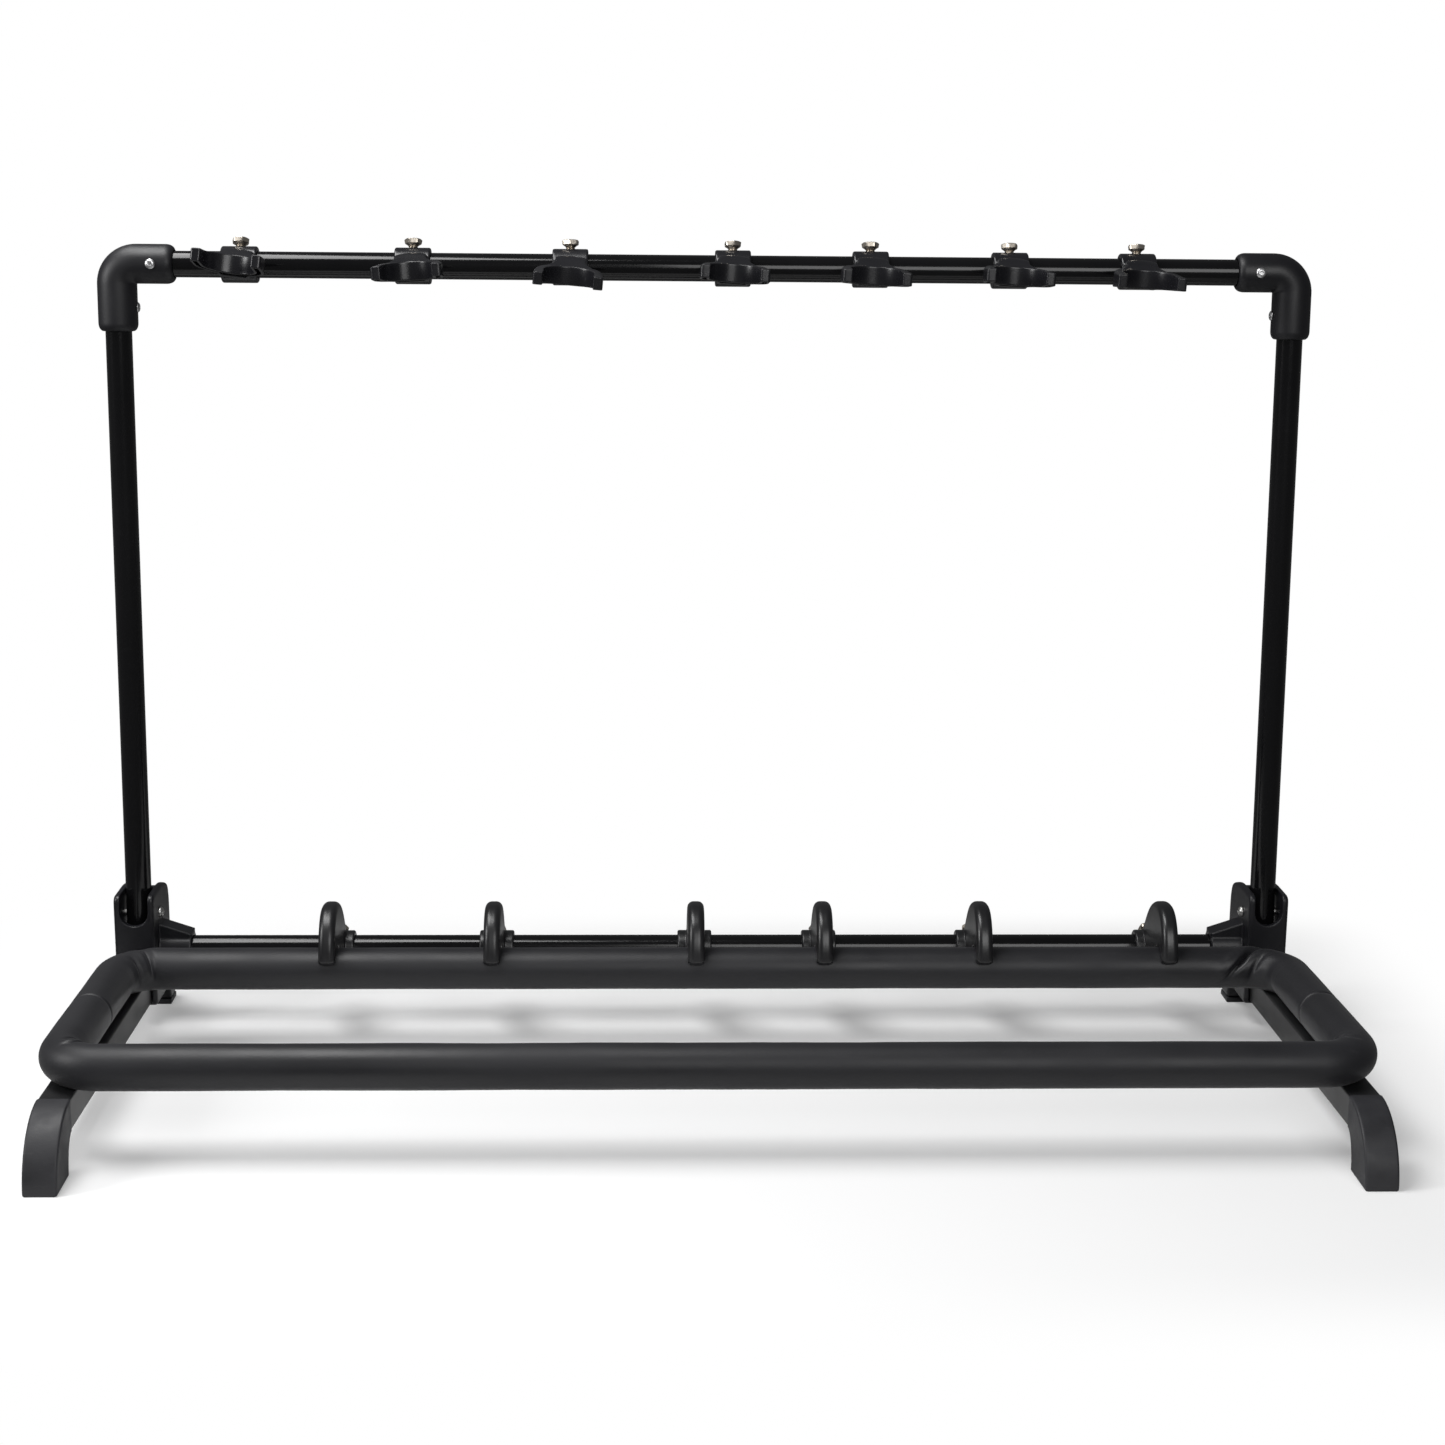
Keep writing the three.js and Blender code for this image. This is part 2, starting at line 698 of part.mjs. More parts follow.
// Half of the loop's rectangle as stations, from one side's middle round two corners to the other's
function loopStations(end, direction, gap) {
  const bend = loopCornerRadius;
  const turn = end - direction * bend;
  const quarter = Math.PI / 2;
  const first = direction > 0 ? [Math.PI, quarter] : [Math.PI, 3 * quarter];
  const second = direction > 0 ? [quarter, 0] : [3 * quarter, 4 * quarter];
  const start = loopMiddle + direction * gap;
  return [
    new THREE.Vector3(-loopX, start, 0),
    ...bendXY(-loopX + bend, turn, bend, ...first),
    ...bendXY(loopX - bend, turn, bend, ...second),
    new THREE.Vector3(loopX, start, 0),
  ];
}

function screwHoles() {
  return [-1, 1].map((side) => {
    const drill = rodZ(loopScrewRadius + fit, foamRadius + 4);
    return drill.translate(side * loopX, loopMiddle + loopScrewOffset, -foamRadius / 2 - 2);
  });
}

function foamSleeve(end, direction) {
  const stations = loopStations(end, direction, fit);
  const body = solid(alongStations(ring(foamRadius, boreRadius, roundSegments, smallSegments), stations));
  return geometryOf(direction > 0 ? cut(body, ...screwHoles()) : body);
}

// The loop's steel tube, one ring with its butt joint in the middle of the left side
function loopTube() {
  const rear = loopStations(loopRear, 1, fit);
  const front = loopStations(loopFront, -1, fit).reverse();
  const stations = [...rear.slice(0, -1), ...front.slice(1)];
  const section = ring(tubeRadius, tubeRadius - tubeWall, smallSegments, smallSegments);
  const body = alongStations(section, stations);
  return geometryOf(cut(solid(body), ...screwHoles()));
}

function loopScrew() {
  const start = -loopLift - legSize / 2;
  const length = -start - tubeRadius + 3;
  const head = rodZ(loopScrewHeadRadius, loopScrewHeadHeight);
  return geometryOf(
    join(
      rodZ(loopScrewRadius, length + 1).translate(0, 0, start + length / 2 - 0.5),
      head.translate(0, 0, start - fit - loopScrewHeadHeight / 2),
    ),
  );
}

function place(mesh, x, y, z) {
  mesh.position.set(x, y, z);
  return mesh;
}

// Everything that stands on the floor and stays put
function buildBase(rack) {
  const legFrame = new THREE.Group();
  legFrame.position.set(0, legFrontY, legFrontHeight);
  legFrame.rotation.x = -legTilt;
  rack.add(legFrame);

  for (const side of [-1, 1]) {
    const hand = side < 0 ? "left" : "right";
    const x = side * legX;
    const heelY = overallDepth / 2 - heelLength / 2;
    const nutX = x + side * (bracketWidth / 2 - pinNutHeight / 2);
    legFrame.add(place(piece(`side_leg_${hand}`, drilledLeg(side), satinBlack), x, 0, 0));
    rack.add(place(piece(`front_foot_${hand}`, frontFoot(), rubberBlack), x, 0, 0));
    rack.add(place(piece(`hinge_bracket_${hand}`, bracket(-side), mouldedBlack), x, bracketFrontY, 0));
    rack.add(place(piece(`rear_foot_pad_${hand}`, footPad(), rubberBlack), x, heelY, 0));
    rack.add(place(piece(`hinge_pin_bolt_${hand}`, hingePin(-side), aluminium), x, hingeY, hingeHeight));
    rack.add(place(piece(`hinge_pin_nut_${hand}`, hingeNut(), aluminium), nutX, hingeY, hingeHeight));
    const screw = piece(`loop_screw_${hand}`, loopScrew(), nickel);
    legFrame.add(place(screw, side * loopX, loopMiddle + loopScrewOffset, loopLift));
  }

  rack.add(place(piece("lower_bar", lowerBar(), glossBlack), 0, lowerBarY, lowerBarHeight));
  const front = piece("foam_sleeve_front", foamSleeve(loopFront, -1), foamBlack);
  const rear = piece("foam_sleeve_rear", foamSleeve(loopRear, 1), foamBlack);
  legFrame.add(place(front, 0, 0, loopLift));
  legFrame.add(place(rear, 0, 0, loopLift));
  legFrame.add(place(piece("loop_tube", loopTube(), glossBlack), 0, 0, loopLift));
}

// The uprights, elbows and top bar, which fold forward together
function buildFoldingFrame(rack) {
  const frame = new THREE.Group();
  frame.position.set(0, hingeY, hingeHeight);
  frame.rotation.x = -uprightLean;
  rack.add(frame);

  for (const side of [-1, 1]) {
    const hand = side < 0 ? "left" : "right";
    const x = side * legX;
    const elbowRivet = piece(`elbow_rivet_top_${hand}`, rivet(), aluminium);
    const sideRivet = piece(`elbow_rivet_side_${hand}`, rivet(), aluminium);
    sideRivet.rotation.z = (-side * Math.PI) / 2;
    frame.add(place(piece(`upright_${hand}`, geometryOf(upright()), glossBlack), x, 0, 0));
    frame.add(place(piece(`corner_elbow_${hand}`, elbow(-side), mouldedBlack), x, 0, barRise));
    frame.add(place(elbowRivet, side * (legX - rivetArm), 0, barRise));
    frame.add(place(sideRivet, x, 0, barRise - rivetDrop));
  }

  frame.add(place(piece("top_bar", topBar(), glossBlack), 0, 0, barRise));
}

function buildYokes(rack) {
  yokes.forEach(({ place: x, roll, pitch }, index) => {
    const number = index + 1;
    const yoke = new THREE.Group();
    yoke.position.set(x, topBarY, topBarHeight);
    yoke.rotation.x = -degToRad(pitch);
    rack.add(yoke);

    const bolt = piece(`yoke_bolt_${number}`, clampBolt(yokeBoltReach), nickel);
    bolt.rotation.x = -yokeBoltLean;
    const crescent = piece(`yoke_fork_${number}`, fork(), mouldedBlack);
    crescent.rotation.y = degToRad(roll);
    yoke.add(piece(`yoke_collar_${number}`, yokeCollar(), mouldedBlack), bolt, crescent);
  });
}

function buildDividers(rack) {
  dividerPlaces.forEach((x, index) => {
    const number = index + 1;
    const bolt = piece(`divider_bolt_${number}`, clampBolt(dividerBoltReach), nickel);
    bolt.rotation.x = -dividerBoltLean;
    rack.add(place(piece(`divider_${number}`, divider(), mouldedBlack), x, lowerBarY, lowerBarHeight));
    rack.add(place(bolt, x, lowerBarY, lowerBarHeight));
  });
}

const rack = new THREE.Group();
buildBase(rack);
buildFoldingFrame(rack);
buildYokes(rack);
buildDividers(rack);

export default rack;
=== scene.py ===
import json
import math

import bpy
import numpy as np
from mathutils import Matrix, Vector, noise

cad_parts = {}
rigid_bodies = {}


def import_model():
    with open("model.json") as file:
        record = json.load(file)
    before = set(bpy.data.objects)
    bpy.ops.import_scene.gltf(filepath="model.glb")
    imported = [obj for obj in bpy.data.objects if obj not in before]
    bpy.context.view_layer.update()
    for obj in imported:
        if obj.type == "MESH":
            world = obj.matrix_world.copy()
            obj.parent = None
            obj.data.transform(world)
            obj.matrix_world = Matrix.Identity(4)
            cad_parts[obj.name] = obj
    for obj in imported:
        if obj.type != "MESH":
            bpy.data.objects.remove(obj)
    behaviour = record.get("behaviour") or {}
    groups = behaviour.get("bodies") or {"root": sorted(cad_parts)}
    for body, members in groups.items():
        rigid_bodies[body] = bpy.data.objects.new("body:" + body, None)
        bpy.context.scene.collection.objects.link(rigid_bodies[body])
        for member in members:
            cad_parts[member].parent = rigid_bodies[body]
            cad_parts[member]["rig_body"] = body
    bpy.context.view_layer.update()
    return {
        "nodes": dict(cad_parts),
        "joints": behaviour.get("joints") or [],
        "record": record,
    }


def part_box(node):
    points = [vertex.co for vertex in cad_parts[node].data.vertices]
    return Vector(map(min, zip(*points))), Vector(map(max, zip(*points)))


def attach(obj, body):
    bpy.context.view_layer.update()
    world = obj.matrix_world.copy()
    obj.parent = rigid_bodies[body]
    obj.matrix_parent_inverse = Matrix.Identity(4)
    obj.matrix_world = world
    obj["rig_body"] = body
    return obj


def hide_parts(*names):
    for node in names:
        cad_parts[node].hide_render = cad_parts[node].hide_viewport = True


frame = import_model()
mm = 0.001  # shapes are drawn in millimetres and stored in metres

# places that the fixed frame gives
joints = {joint["name"]: joint for joint in frame["joints"]}
slotOf = {part["node"]: part["material_slot"] for part in frame["record"]["subparts"]}


def boxMm(node):
    low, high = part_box(node)
    return np.array(low) / mm, np.array(high) / mm


barLow, barHigh = boxMm("top_bar")
lowerLow, lowerHigh = boxMm("lower_bar")
legLow, legHigh = boxMm("side_leg_right")
bracketFront = boxMm("hinge_bracket_right")[0][1]
footFront = boxMm("front_foot_right")[0][1]
hinge = np.array(joints["frame_fold"]["pos_m"]) / mm
topBar = (barLow + barHigh) / 2
lowerBar = (lowerLow + lowerHigh) / 2
legX = (legLow[0] + legHigh[0]) / 2
uprightLean = math.atan2(topBar[1] - hinge[1], topBar[2] - hinge[2])
barRise = math.hypot(topBar[1] - hinge[1], topBar[2] - hinge[2])

sides = ((-1, "left"), (1, "right"))
fit = 0.3  # gap between faces that meet
tubing = {"radius": 11.0, "wall": 1.2, "bore": 11.3, "ease": 0.25, "segments": 96}
legs = {"size": 25.0, "wall": 1.5, "corner": 2.4, "ease": 0.3, "slope": math.radians(1.234),
        "frontHeight": 42.0}
legFront = legLow[1] - 0.05
legFrame = Matrix.Translation((0, legFront, legs["frontHeight"])) @ Matrix.Rotation(-legs["slope"], 4, "X")


# mesh helpers
def makeObject(name, points, faces, place=None, sharp=35):
    co = np.array(points, float).reshape(-1, 3)
    if place is not None:
        turn = np.array(place)
        co = co @ turn[:3, :3].T + turn[:3, 3]
    mesh = bpy.data.meshes.new(name)
    mesh.from_pydata((co * mm).tolist(), [], [tuple(face) for face in faces])
    mesh.validate()
    mesh.shade_smooth()
    if sharp:
        mesh.set_sharp_from_angle(angle=math.radians(sharp))
    obj = bpy.data.objects.new(name, mesh)
    bpy.context.scene.collection.objects.link(obj)
    return obj


def copyObject(source, name, place):
    obj = bpy.data.objects.new(name, source.data.copy())
    scaled = Matrix.Scale(mm, 4) @ place @ Matrix.Scale(1 / mm, 4)
    obj.data.transform(scaled)
    bpy.context.scene.collection.objects.link(obj)
    return obj


def removeObject(obj):
    mesh = obj.data
    bpy.data.objects.remove(obj)
    bpy.data.meshes.remove(mesh)


def applyModifiers(obj):
    bpy.context.view_layer.update()
    depsgraph = bpy.context.evaluated_depsgraph_get()
    mesh = bpy.data.meshes.new_from_object(obj.evaluated_get(depsgraph))
    old = obj.data
    obj.modifiers.clear()
    obj.data = mesh
    bpy.data.meshes.remove(old)


def combine(base, others, operation):
    for other in others:
        modifier = base.modifiers.new("join", "BOOLEAN")
        modifier.operation = operation
        modifier.solver = "EXACT"
        modifier.object = other
        applyModifiers(base)
        removeObject(other)
    return base


# Softens every edge of a body the way a moulding's edges are soft.
def moulded(base, voxel, smoothing, ratio):
    remesh = base.modifiers.new("skin", "REMESH")
    remesh.mode = "VOXEL"
    remesh.voxel_size = voxel * mm
    remesh.use_smooth_shade = True
    smooth = base.modifiers.new("ease", "SMOOTH")
    smooth.factor = 0.5
    smooth.iterations = smoothing
    thin = base.modifiers.new("thin", "DECIMATE")
    thin.ratio = ratio
    applyModifiers(base)
    base.data.shade_smooth()
    return base


def ellipse(centreX, centreY, radiusX, radiusY, start, end, steps):
    angles = np.radians(np.linspace(start, end, steps + 1))
    return [(centreX + radiusX * math.cos(a), centreY + radiusY * math.sin(a)) for a in angles]


def arc(centreX, centreY, radius, start, end, steps):
    return ellipse(centreX, centreY, radius, radius, start, end, steps)


def bezier(a, b, c, d, steps):
    a, b, c, d = (np.array(p, float) for p in (a, b, c, d))
    out = []
    for t in np.linspace(0, 1, steps + 1):
        out.append(tuple(a * (1 - t) ** 3 + 3 * b * t * (1 - t) ** 2 + 3 * c * t * t * (1 - t) + d * t**3))
    return out


# A closed outline whose corners (across, up, radius) are rounded.
def rounded(corners, steps=6):
    out = []
    for index, (across, up, radius) in enumerate(corners):
        corner = np.array((across, up), float)
        before = np.array(corners[index - 1][:2], float) - corner
        after = np.array(corners[(index + 1) % len(corners)][:2], float) - corner
        enter = corner + before / np.linalg.norm(before) * radius
        leave = corner + after / np.linalg.norm(after) * radius
        for t in np.linspace(0, 1, steps + 1):
            out.append(tuple(enter * (1 - t) ** 2 + 2 * corner * t * (1 - t) + leave * t * t))
    return out


def roundedBox(left, bottom, right, top, radius):
    return rounded([(left, bottom, radius), (right, bottom, radius), (right, top, radius), (left, top, radius)])


# The outline anticlockwise, with no two points in one place.
def tidyOutline(points):
    kept = []
    for point in points:
        if not kept or math.dist(point, kept[-1]) > 1e-4:
            kept.append(point)
    if math.dist(kept[0], kept[-1]) < 1e-4:
        kept.pop()
    kept = np.array(kept, float)
    after = np.roll(kept, -1, 0)
    area = np.sum(kept[:, 0] * after[:, 1] - after[:, 0] * kept[:, 1])
    return kept if area > 0 else kept[::-1]


def inset(points, distance):
    before, after = np.roll(points, 1, 0), np.roll(points, -1, 0)
    edgeIn, edgeOut = points - before, after - points
    edgeIn /= np.linalg.norm(edgeIn, axis=1)[:, None]
    edgeOut /= np.linalg.norm(edgeOut, axis=1)[:, None]
    normal = np.stack([-(edgeIn + edgeOut)[:, 1], (edgeIn + edgeOut)[:, 0]], 1)
    normal /= np.maximum(np.linalg.norm(normal, axis=1), 1e-6)[:, None]
    cosine = np.clip(normal[:, 0] * -edgeIn[:, 1] + normal[:, 1] * edgeIn[:, 0], 0.5, 1)
    return points + normal * (distance / cosine)[:, None]


# Quads between rings of equal length. An open run gets flat caps; a closed one joins its two end rings.
def stitch(rings, closed=False):
    count = len(rings[0])
    faces = []
    for r in range(len(rings) if closed else len(rings) - 1):
        a, b = r * count, ((r + 1) % len(rings)) * count
        for k in range(count):
            n = (k + 1) % count
            faces.append((a + k, a + n, b + n, b + k))
    if not closed:
        last = (len(rings) - 1) * count
        faces.append(tuple(range(count))[::-1])
        faces.append(tuple(range(last, last + count)))
    return np.concatenate(rings), faces


# The heights and insets of a quarter-round rim of the given radius, from the lower face up.
def rimLevels(width, edge, steps):
    angles = np.linspace(math.pi / 2, 0, steps + 1)
    return [(-width / 2 + edge * (1 - math.sin(a)), edge * (1 - math.cos(a))) for a in angles]


# An outline in X and Y carried along Z, centred, with its rims rounded.
def prism(outline, width, edge=0.0, steps=4):
    outline = tidyOutline(outline)
    lower = rimLevels(width, edge, steps) if edge else [(-width / 2, 0)]
    rings = []
    for height, depth in lower + [(-height, depth) for height, depth in lower[::-1]]:
        ring = inset(outline, depth) if depth else outline
        rings.append(np.column_stack([ring, np.full(len(ring), height)]))
    return stitch(rings)


acrossX = Matrix(((0, 0, 1, 0), (1, 0, 0, 0), (0, 1, 0, 0), (0, 0, 0, 1)))  # outline in Y and Z, width on X
alongY = Matrix(((1, 0, 0, 0), (0, 0, -1, 0), (0, 1, 0, 0), (0, 0, 0, 1)))  # outline in X and Z, depth on Y


# A profile of (radius, height) turned about Z. A shape gives each point its own radius by angle.
def lathe(profile, segments=64, closed=False, shape=None):
    angles = np.linspace(0, 2 * math.pi, segments, endpoint=False)
    rings = []
    for index, (radius, height) in enumerate(profile):
        radii = np.full(segments, max(radius, 1e-3))
        if shape is not None:
            radii = shape(index, radii, angles)
        across, up = radii * np.cos(angles), radii * np.sin(angles)
        rings.append(np.column_stack([across, up, np.full(segments, height)]))
    return stitch(rings, closed=closed)


def rod(radius, length, segments=48):
    return lathe([(radius, -length / 2), (radius, length / 2)], segments)


def cuboid(width, depth, height):
    return prism([(-width / 2, -depth / 2), (width / 2, -depth / 2), (width / 2, depth / 2),
                  (-width / 2, depth / 2)], height)


def shift(x=0.0, y=0.0, z=0.0):
    return Matrix.Translation((x, y, z))


def turn(degrees, axis):
    return Matrix.Rotation(math.radians(degrees), 4, axis)


def temp(shape, place=None):
    return makeObject("temporary", *shape, place, sharp=0)


# The frame of an upright: its origin is at the pin and Z runs up the tube.
def uprightFrame(side):
    return shift(side * legX, hinge[1], hinge[2]) @ Matrix.Rotation(-uprightLean, 4, "X")


# shading nodes
def addNode(nodes, kind, inputs=None, **settings):
    node = nodes.new("ShaderNode" + kind)
    for label, value in settings.items():
        setattr(node, label, value)
    for label, value in (inputs or {}).items():
        node.inputs[label].default_value = value
    return node


# A function that links one node's output to another's input.
def linker(tree):
    def link(source, output, target, socket):
        tree.links.new(source.outputs[output], target.inputs[socket])

    return link


def nodeGroup(name, inputs, outputs):
    group = bpy.data.node_groups.new(name, "ShaderNodeTree")
    for label, value in inputs:
        socket = group.interface.new_socket(label, in_out="INPUT", socket_type="NodeSocketFloat")
        socket.default_value = value
    for label, kind in outputs:
        group.interface.new_socket(label, in_out="OUTPUT", socket_type=kind)
    return group, group.nodes.new("NodeGroupInput"), group.nodes.new("NodeGroupOutput")


# Fine moulded or sprayed grain: a height mask and the bumped normal.
def grainGroup():
    group, into, out = nodeGroup("fine grain", [("Scale", 900), ("Depth", 0.2), ("Coarse", 0.3)],
                                 [("Height", "NodeSocketFloat"), ("Normal", "NodeSocketVector")])
    nodes, link = group.nodes, linker(group)
    coordinates = addNode(nodes, "TexCoord")
    fine = addNode(nodes, "TexNoise", {"Detail": 3})
    cells = addNode(nodes, "TexVoronoi", feature="SMOOTH_F1")
    coarseScale = addNode(nodes, "Math", {1: 0.35}, operation="MULTIPLY")
    mixed = addNode(nodes, "Mix")
    bump = addNode(nodes, "Bump", {"Distance": 0.0002})
    link(coordinates, "Object", fine, "Vector")
    link(coordinates, "Object", cells, "Vector")
    link(into, "Scale", fine, "Scale")
    link(into, "Scale", coarseScale, 0)
    link(coarseScale, 0, cells, "Scale")
    link(into, "Coarse", mixed, "Factor")
    link(fine, "Fac", mixed, "A")
    link(cells, "Distance", mixed, "B")
    link(mixed, "Result", bump, "Height")
    link(into, "Depth", bump, "Strength")
    link(mixed, "Result", out, "Height")
    link(bump, "Normal", out, "Normal")
    return group


# Rubbed edges and faint scuffs, from 0 where untouched to 1 where worn.
def wearGroup():
    group, into, out = nodeGroup("handling wear", [("Scale", 60), ("Edge", 0.55), ("Scuffs", 0.2)],
                                 [("Edges", "NodeSocketFloat"), ("Marks", "NodeSocketFloat")])
    nodes, link = group.nodes, linker(group)
    geometry = addNode(nodes, "NewGeometry")
    coordinates = addNode(nodes, "TexCoord")
    patches = addNode(nodes, "TexNoise", {"Detail": 6, "Roughness": 0.7})
    edges = addNode(nodes, "MapRange", {"From Max": 0.66})
    broken = addNode(nodes, "Math", operation="MULTIPLY")
    stretch = addNode(nodes, "Mapping", {"Scale": (1, 6, 4), "Rotation": (0.3, 0.5, 0.6)})
    streaks = addNode(nodes, "TexNoise", {"Detail": 8, "Roughness": 0.75})
    marks = addNode(nodes, "MapRange", {"From Min": 0.58, "From Max": 0.8})
    faint = addNode(nodes, "Math", operation="MULTIPLY")
    link(coordinates, "Object", patches, "Vector")
    link(coordinates, "Object", stretch, "Vector")
    link(stretch, "Vector", streaks, "Vector")
    link(into, "Scale", patches, "Scale")
    link(into, "Scale", streaks, "Scale")
    link(into, "Edge", edges, "From Min")
    link(geometry, "Pointiness", edges, "Value")
    link(edges, "Result", broken, 0)
    link(patches, "Fac", broken, 1)
    link(streaks, "Fac", marks, "Value")
    link(marks, "Result", faint, 0)
    link(into, "Scuffs", faint, 1)
    link(broken, 0, out, "Edges")
    link(faint, 0, out, "Marks")
    return group


# Slow change over a surface, for colour and gloss that are never quite even.
def blotchGroup():
    group, into, out = nodeGroup("slow variation", [("Scale", 12), ("Low", 0.9), ("High", 1.1)],
                                 [("Value", "NodeSocketFloat")])
    nodes, link = group.nodes, linker(group)
    coordinates = addNode(nodes, "TexCoord")
    cloud = addNode(nodes, "TexNoise", {"Detail": 4})
    spread = addNode(nodes, "MapRange", {"From Min": 0.3, "From Max": 0.7})
    link(coordinates, "Object", cloud, "Vector")
    link(into, "Scale", cloud, "Scale")
    link(cloud, "Fac", spread, "Value")
    link(into, "Low", spread, "To Min")
    link(into, "High", spread, "To Max")
    link(spread, "Result", out, "Value")
    return group


grain, wear, blotch = grainGroup(), wearGroup(), blotchGroup()


# One material: base colour with slow variation and worn edges, uneven gloss, and grain.
def finish(name, look):
    material = bpy.data.materials.new(name)
    material.use_nodes = True
    material.diffuse_color = (*look["colour"], 1)
    nodes, link = material.node_tree.nodes, linker(material.node_tree)
    shader = nodes["Principled BSDF"]
    for label, value in look["sockets"].items():
        shader.inputs[label].default_value = value

    marks = addNode(nodes, "Group", node_tree=wear)
    slow = addNode(nodes, "Group", node_tree=blotch)
    texture = addNode(nodes, "Group", node_tree=grain)
    for node, values in (
            (marks, {"Scale": look["wearScale"], "Edge": look["edge"], "Scuffs": look["scuffs"]}),
            (slow, {"Scale": look["slowScale"], "Low": 1 - look["uneven"], "High": 1 + look["uneven"]}),
            (texture, {"Scale": look["grainScale"], "Depth": look["grainDepth"], "Coarse": look["coarse"]})):
        for label, value in values.items():
            node.inputs[label].default_value = value
    shade = addNode(nodes, "Mix", data_type="RGBA", blend_type="MULTIPLY")
    shade.inputs["Factor"].default_value = 1
    shade.inputs["A"].default_value = (*look["colour"], 1)
    worn = addNode(nodes, "Mix", data_type="RGBA")
    worn.inputs["B"].default_value = (*look["worn"], 1)
    both = addNode(nodes, "Math", operation="MAXIMUM")
    link(slow, "Value", shade, "B")
    link(shade, "Result", worn, "A")
    link(marks, "Edges", both, 0)
    link(marks, "Marks", both, 1)
    link(both, 0, worn, "Factor")
    link(worn, "Result", shader, "Base Color")

    gloss = addNode(nodes, "Math", {1: look["roughness"]}, operation="MULTIPLY_ADD")
    rougher = addNode(nodes, "Math", {1: look["wornRoughness"]}, operation="MULTIPLY")
    link(slow, "Value", gloss, 0)
    link(both, 0, rougher, 0)
    link(rougher, 0, gloss, 2)
    link(gloss, 0, shader, "Roughness")
    link(texture, "Normal", shader, "Normal")
    return material


metal = {"wearScale": 120, "edge": 0.7, "scuffs": 0.25, "slowScale": 90, "uneven": 0.2, "wornRoughness": 0.3,
         "grainScale": 1800, "grainDepth": 0.06, "coarse": 0.2, "sockets": {"Metallic": 1.0}}
looks = {
    "tube_gloss": {  # sprayed gloss black, with a trace of orange peel
        "colour": (0.0045, 0.0045, 0.005), "worn": (0.03, 0.03, 0.032), "wearScale": 40, "edge": 0.62,
        "scuffs": 0.12, "slowScale": 9, "uneven": 0.16, "roughness": 0.15, "wornRoughness": 0.25,
        "grainScale": 420, "grainDepth": 0.035, "coarse": 0.2,
        "sockets": {"Specular IOR Level": 0.28, "Coat Weight": 0.12, "Coat Roughness": 0.06}},
    "leg_paint": {
        "colour": (0.009, 0.009, 0.0095), "worn": (0.05, 0.05, 0.052), "wearScale": 50, "edge": 0.56,
        "scuffs": 0.15, "slowScale": 12, "uneven": 0.12, "roughness": 0.42, "wornRoughness": 0.2,
        "grainScale": 900, "grainDepth": 0.12, "coarse": 0.3, "sockets": {}},
    "bracket_plastic": {
        "colour": (0.006, 0.006, 0.008), "worn": (0.03, 0.03, 0.036), "wearScale": 70, "edge": 0.53,
        "scuffs": 0.12, "slowScale": 18, "uneven": 0.14, "roughness": 0.42, "wornRoughness": 0.15,
        "grainScale": 1500, "grainDepth": 0.25, "coarse": 0.45, "sockets": {"Specular IOR Level": 0.42}},
    "elbow_plastic": {
        "colour": (0.007, 0.007, 0.009), "worn": (0.035, 0.035, 0.04), "wearScale": 70, "edge": 0.53,
        "scuffs": 0.16, "slowScale": 22, "uneven": 0.16, "roughness": 0.47, "wornRoughness": 0.15,
        "grainScale": 1300, "grainDepth": 0.4, "coarse": 0.5, "sockets": {"Specular IOR Level": 0.44}},
    "yoke_plastic": {
        "colour": (0.009, 0.009, 0.011), "worn": (0.06, 0.06, 0.066), "wearScale": 80, "edge": 0.52,
        "scuffs": 0.12, "slowScale": 25, "uneven": 0.14, "roughness": 0.27, "wornRoughness": 0.15,
        "grainScale": 1600, "grainDepth": 0.1, "coarse": 0.3, "sockets": {}},
    "divider_plastic": {
        "colour": (0.010, 0.010, 0.011), "worn": (0.05, 0.05, 0.054), "wearScale": 60, "edge": 0.53,
        "scuffs": 0.14, "slowScale": 20, "uneven": 0.12, "roughness": 0.33, "wornRoughness": 0.18,
        "grainScale": 1500, "grainDepth": 0.1, "coarse": 0.35, "sockets": {}},
    "foot_rubber": {
        "colour": (0.016, 0.016, 0.019), "worn": (0.06, 0.06, 0.066), "wearScale": 90, "edge": 0.52,
        "scuffs": 0.45, "slowScale": 40, "uneven": 0.22, "roughness": 0.56, "wornRoughness": 0.15,
        "grainScale": 1100, "grainDepth": 0.45, "coarse": 0.55, "sockets": {}},
    "foam_sleeve": {
        "colour": (0.0068, 0.0068, 0.009), "worn": (0.03, 0.03, 0.034), "wearScale": 22, "edge": 0.6,
        "scuffs": 0.35, "slowScale": 10, "uneven": 0.18, "roughness": 0.5, "wornRoughness": 0.2,
        "grainScale": 1500, "grainDepth": 0.5, "coarse": 0.6,
        "sockets": {"Specular IOR Level": 0.46, "Sheen Weight": 0.05, "Sheen Roughness": 0.5}},
    "nickel_steel": {**metal, "colour": (0.8, 0.74, 0.66), "worn": (0.45, 0.4, 0.33), "roughness": 0.2},
    "bright_steel": {**metal, "colour": (0.68, 0.68, 0.67), "worn": (0.4, 0.39, 0.37), "roughness": 0.22},
    "rivet_aluminium": {
        **metal, "colour": (0.8, 0.8, 0.81), "worn": (0.5, 0.5, 0.5), "wearScale": 140, "scuffs": 0.2,
        "uneven": 0.15, "roughness": 0.24, "wornRoughness": 0.25, "grainDepth": 0.05},
}
finishes = {slot: finish(slot, look) for slot, look in looks.items()}
print("materials made:", len(finishes))


# The piece stands for its CAD node: same body, same slot, its finish on it.
def dress(obj, node):
    slot = slotOf[node]
    obj.data.materials.clear()
    obj.data.materials.append(finishes[slot])
    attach(obj, frame["nodes"][node]["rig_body"])
    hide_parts(node)
    return obj


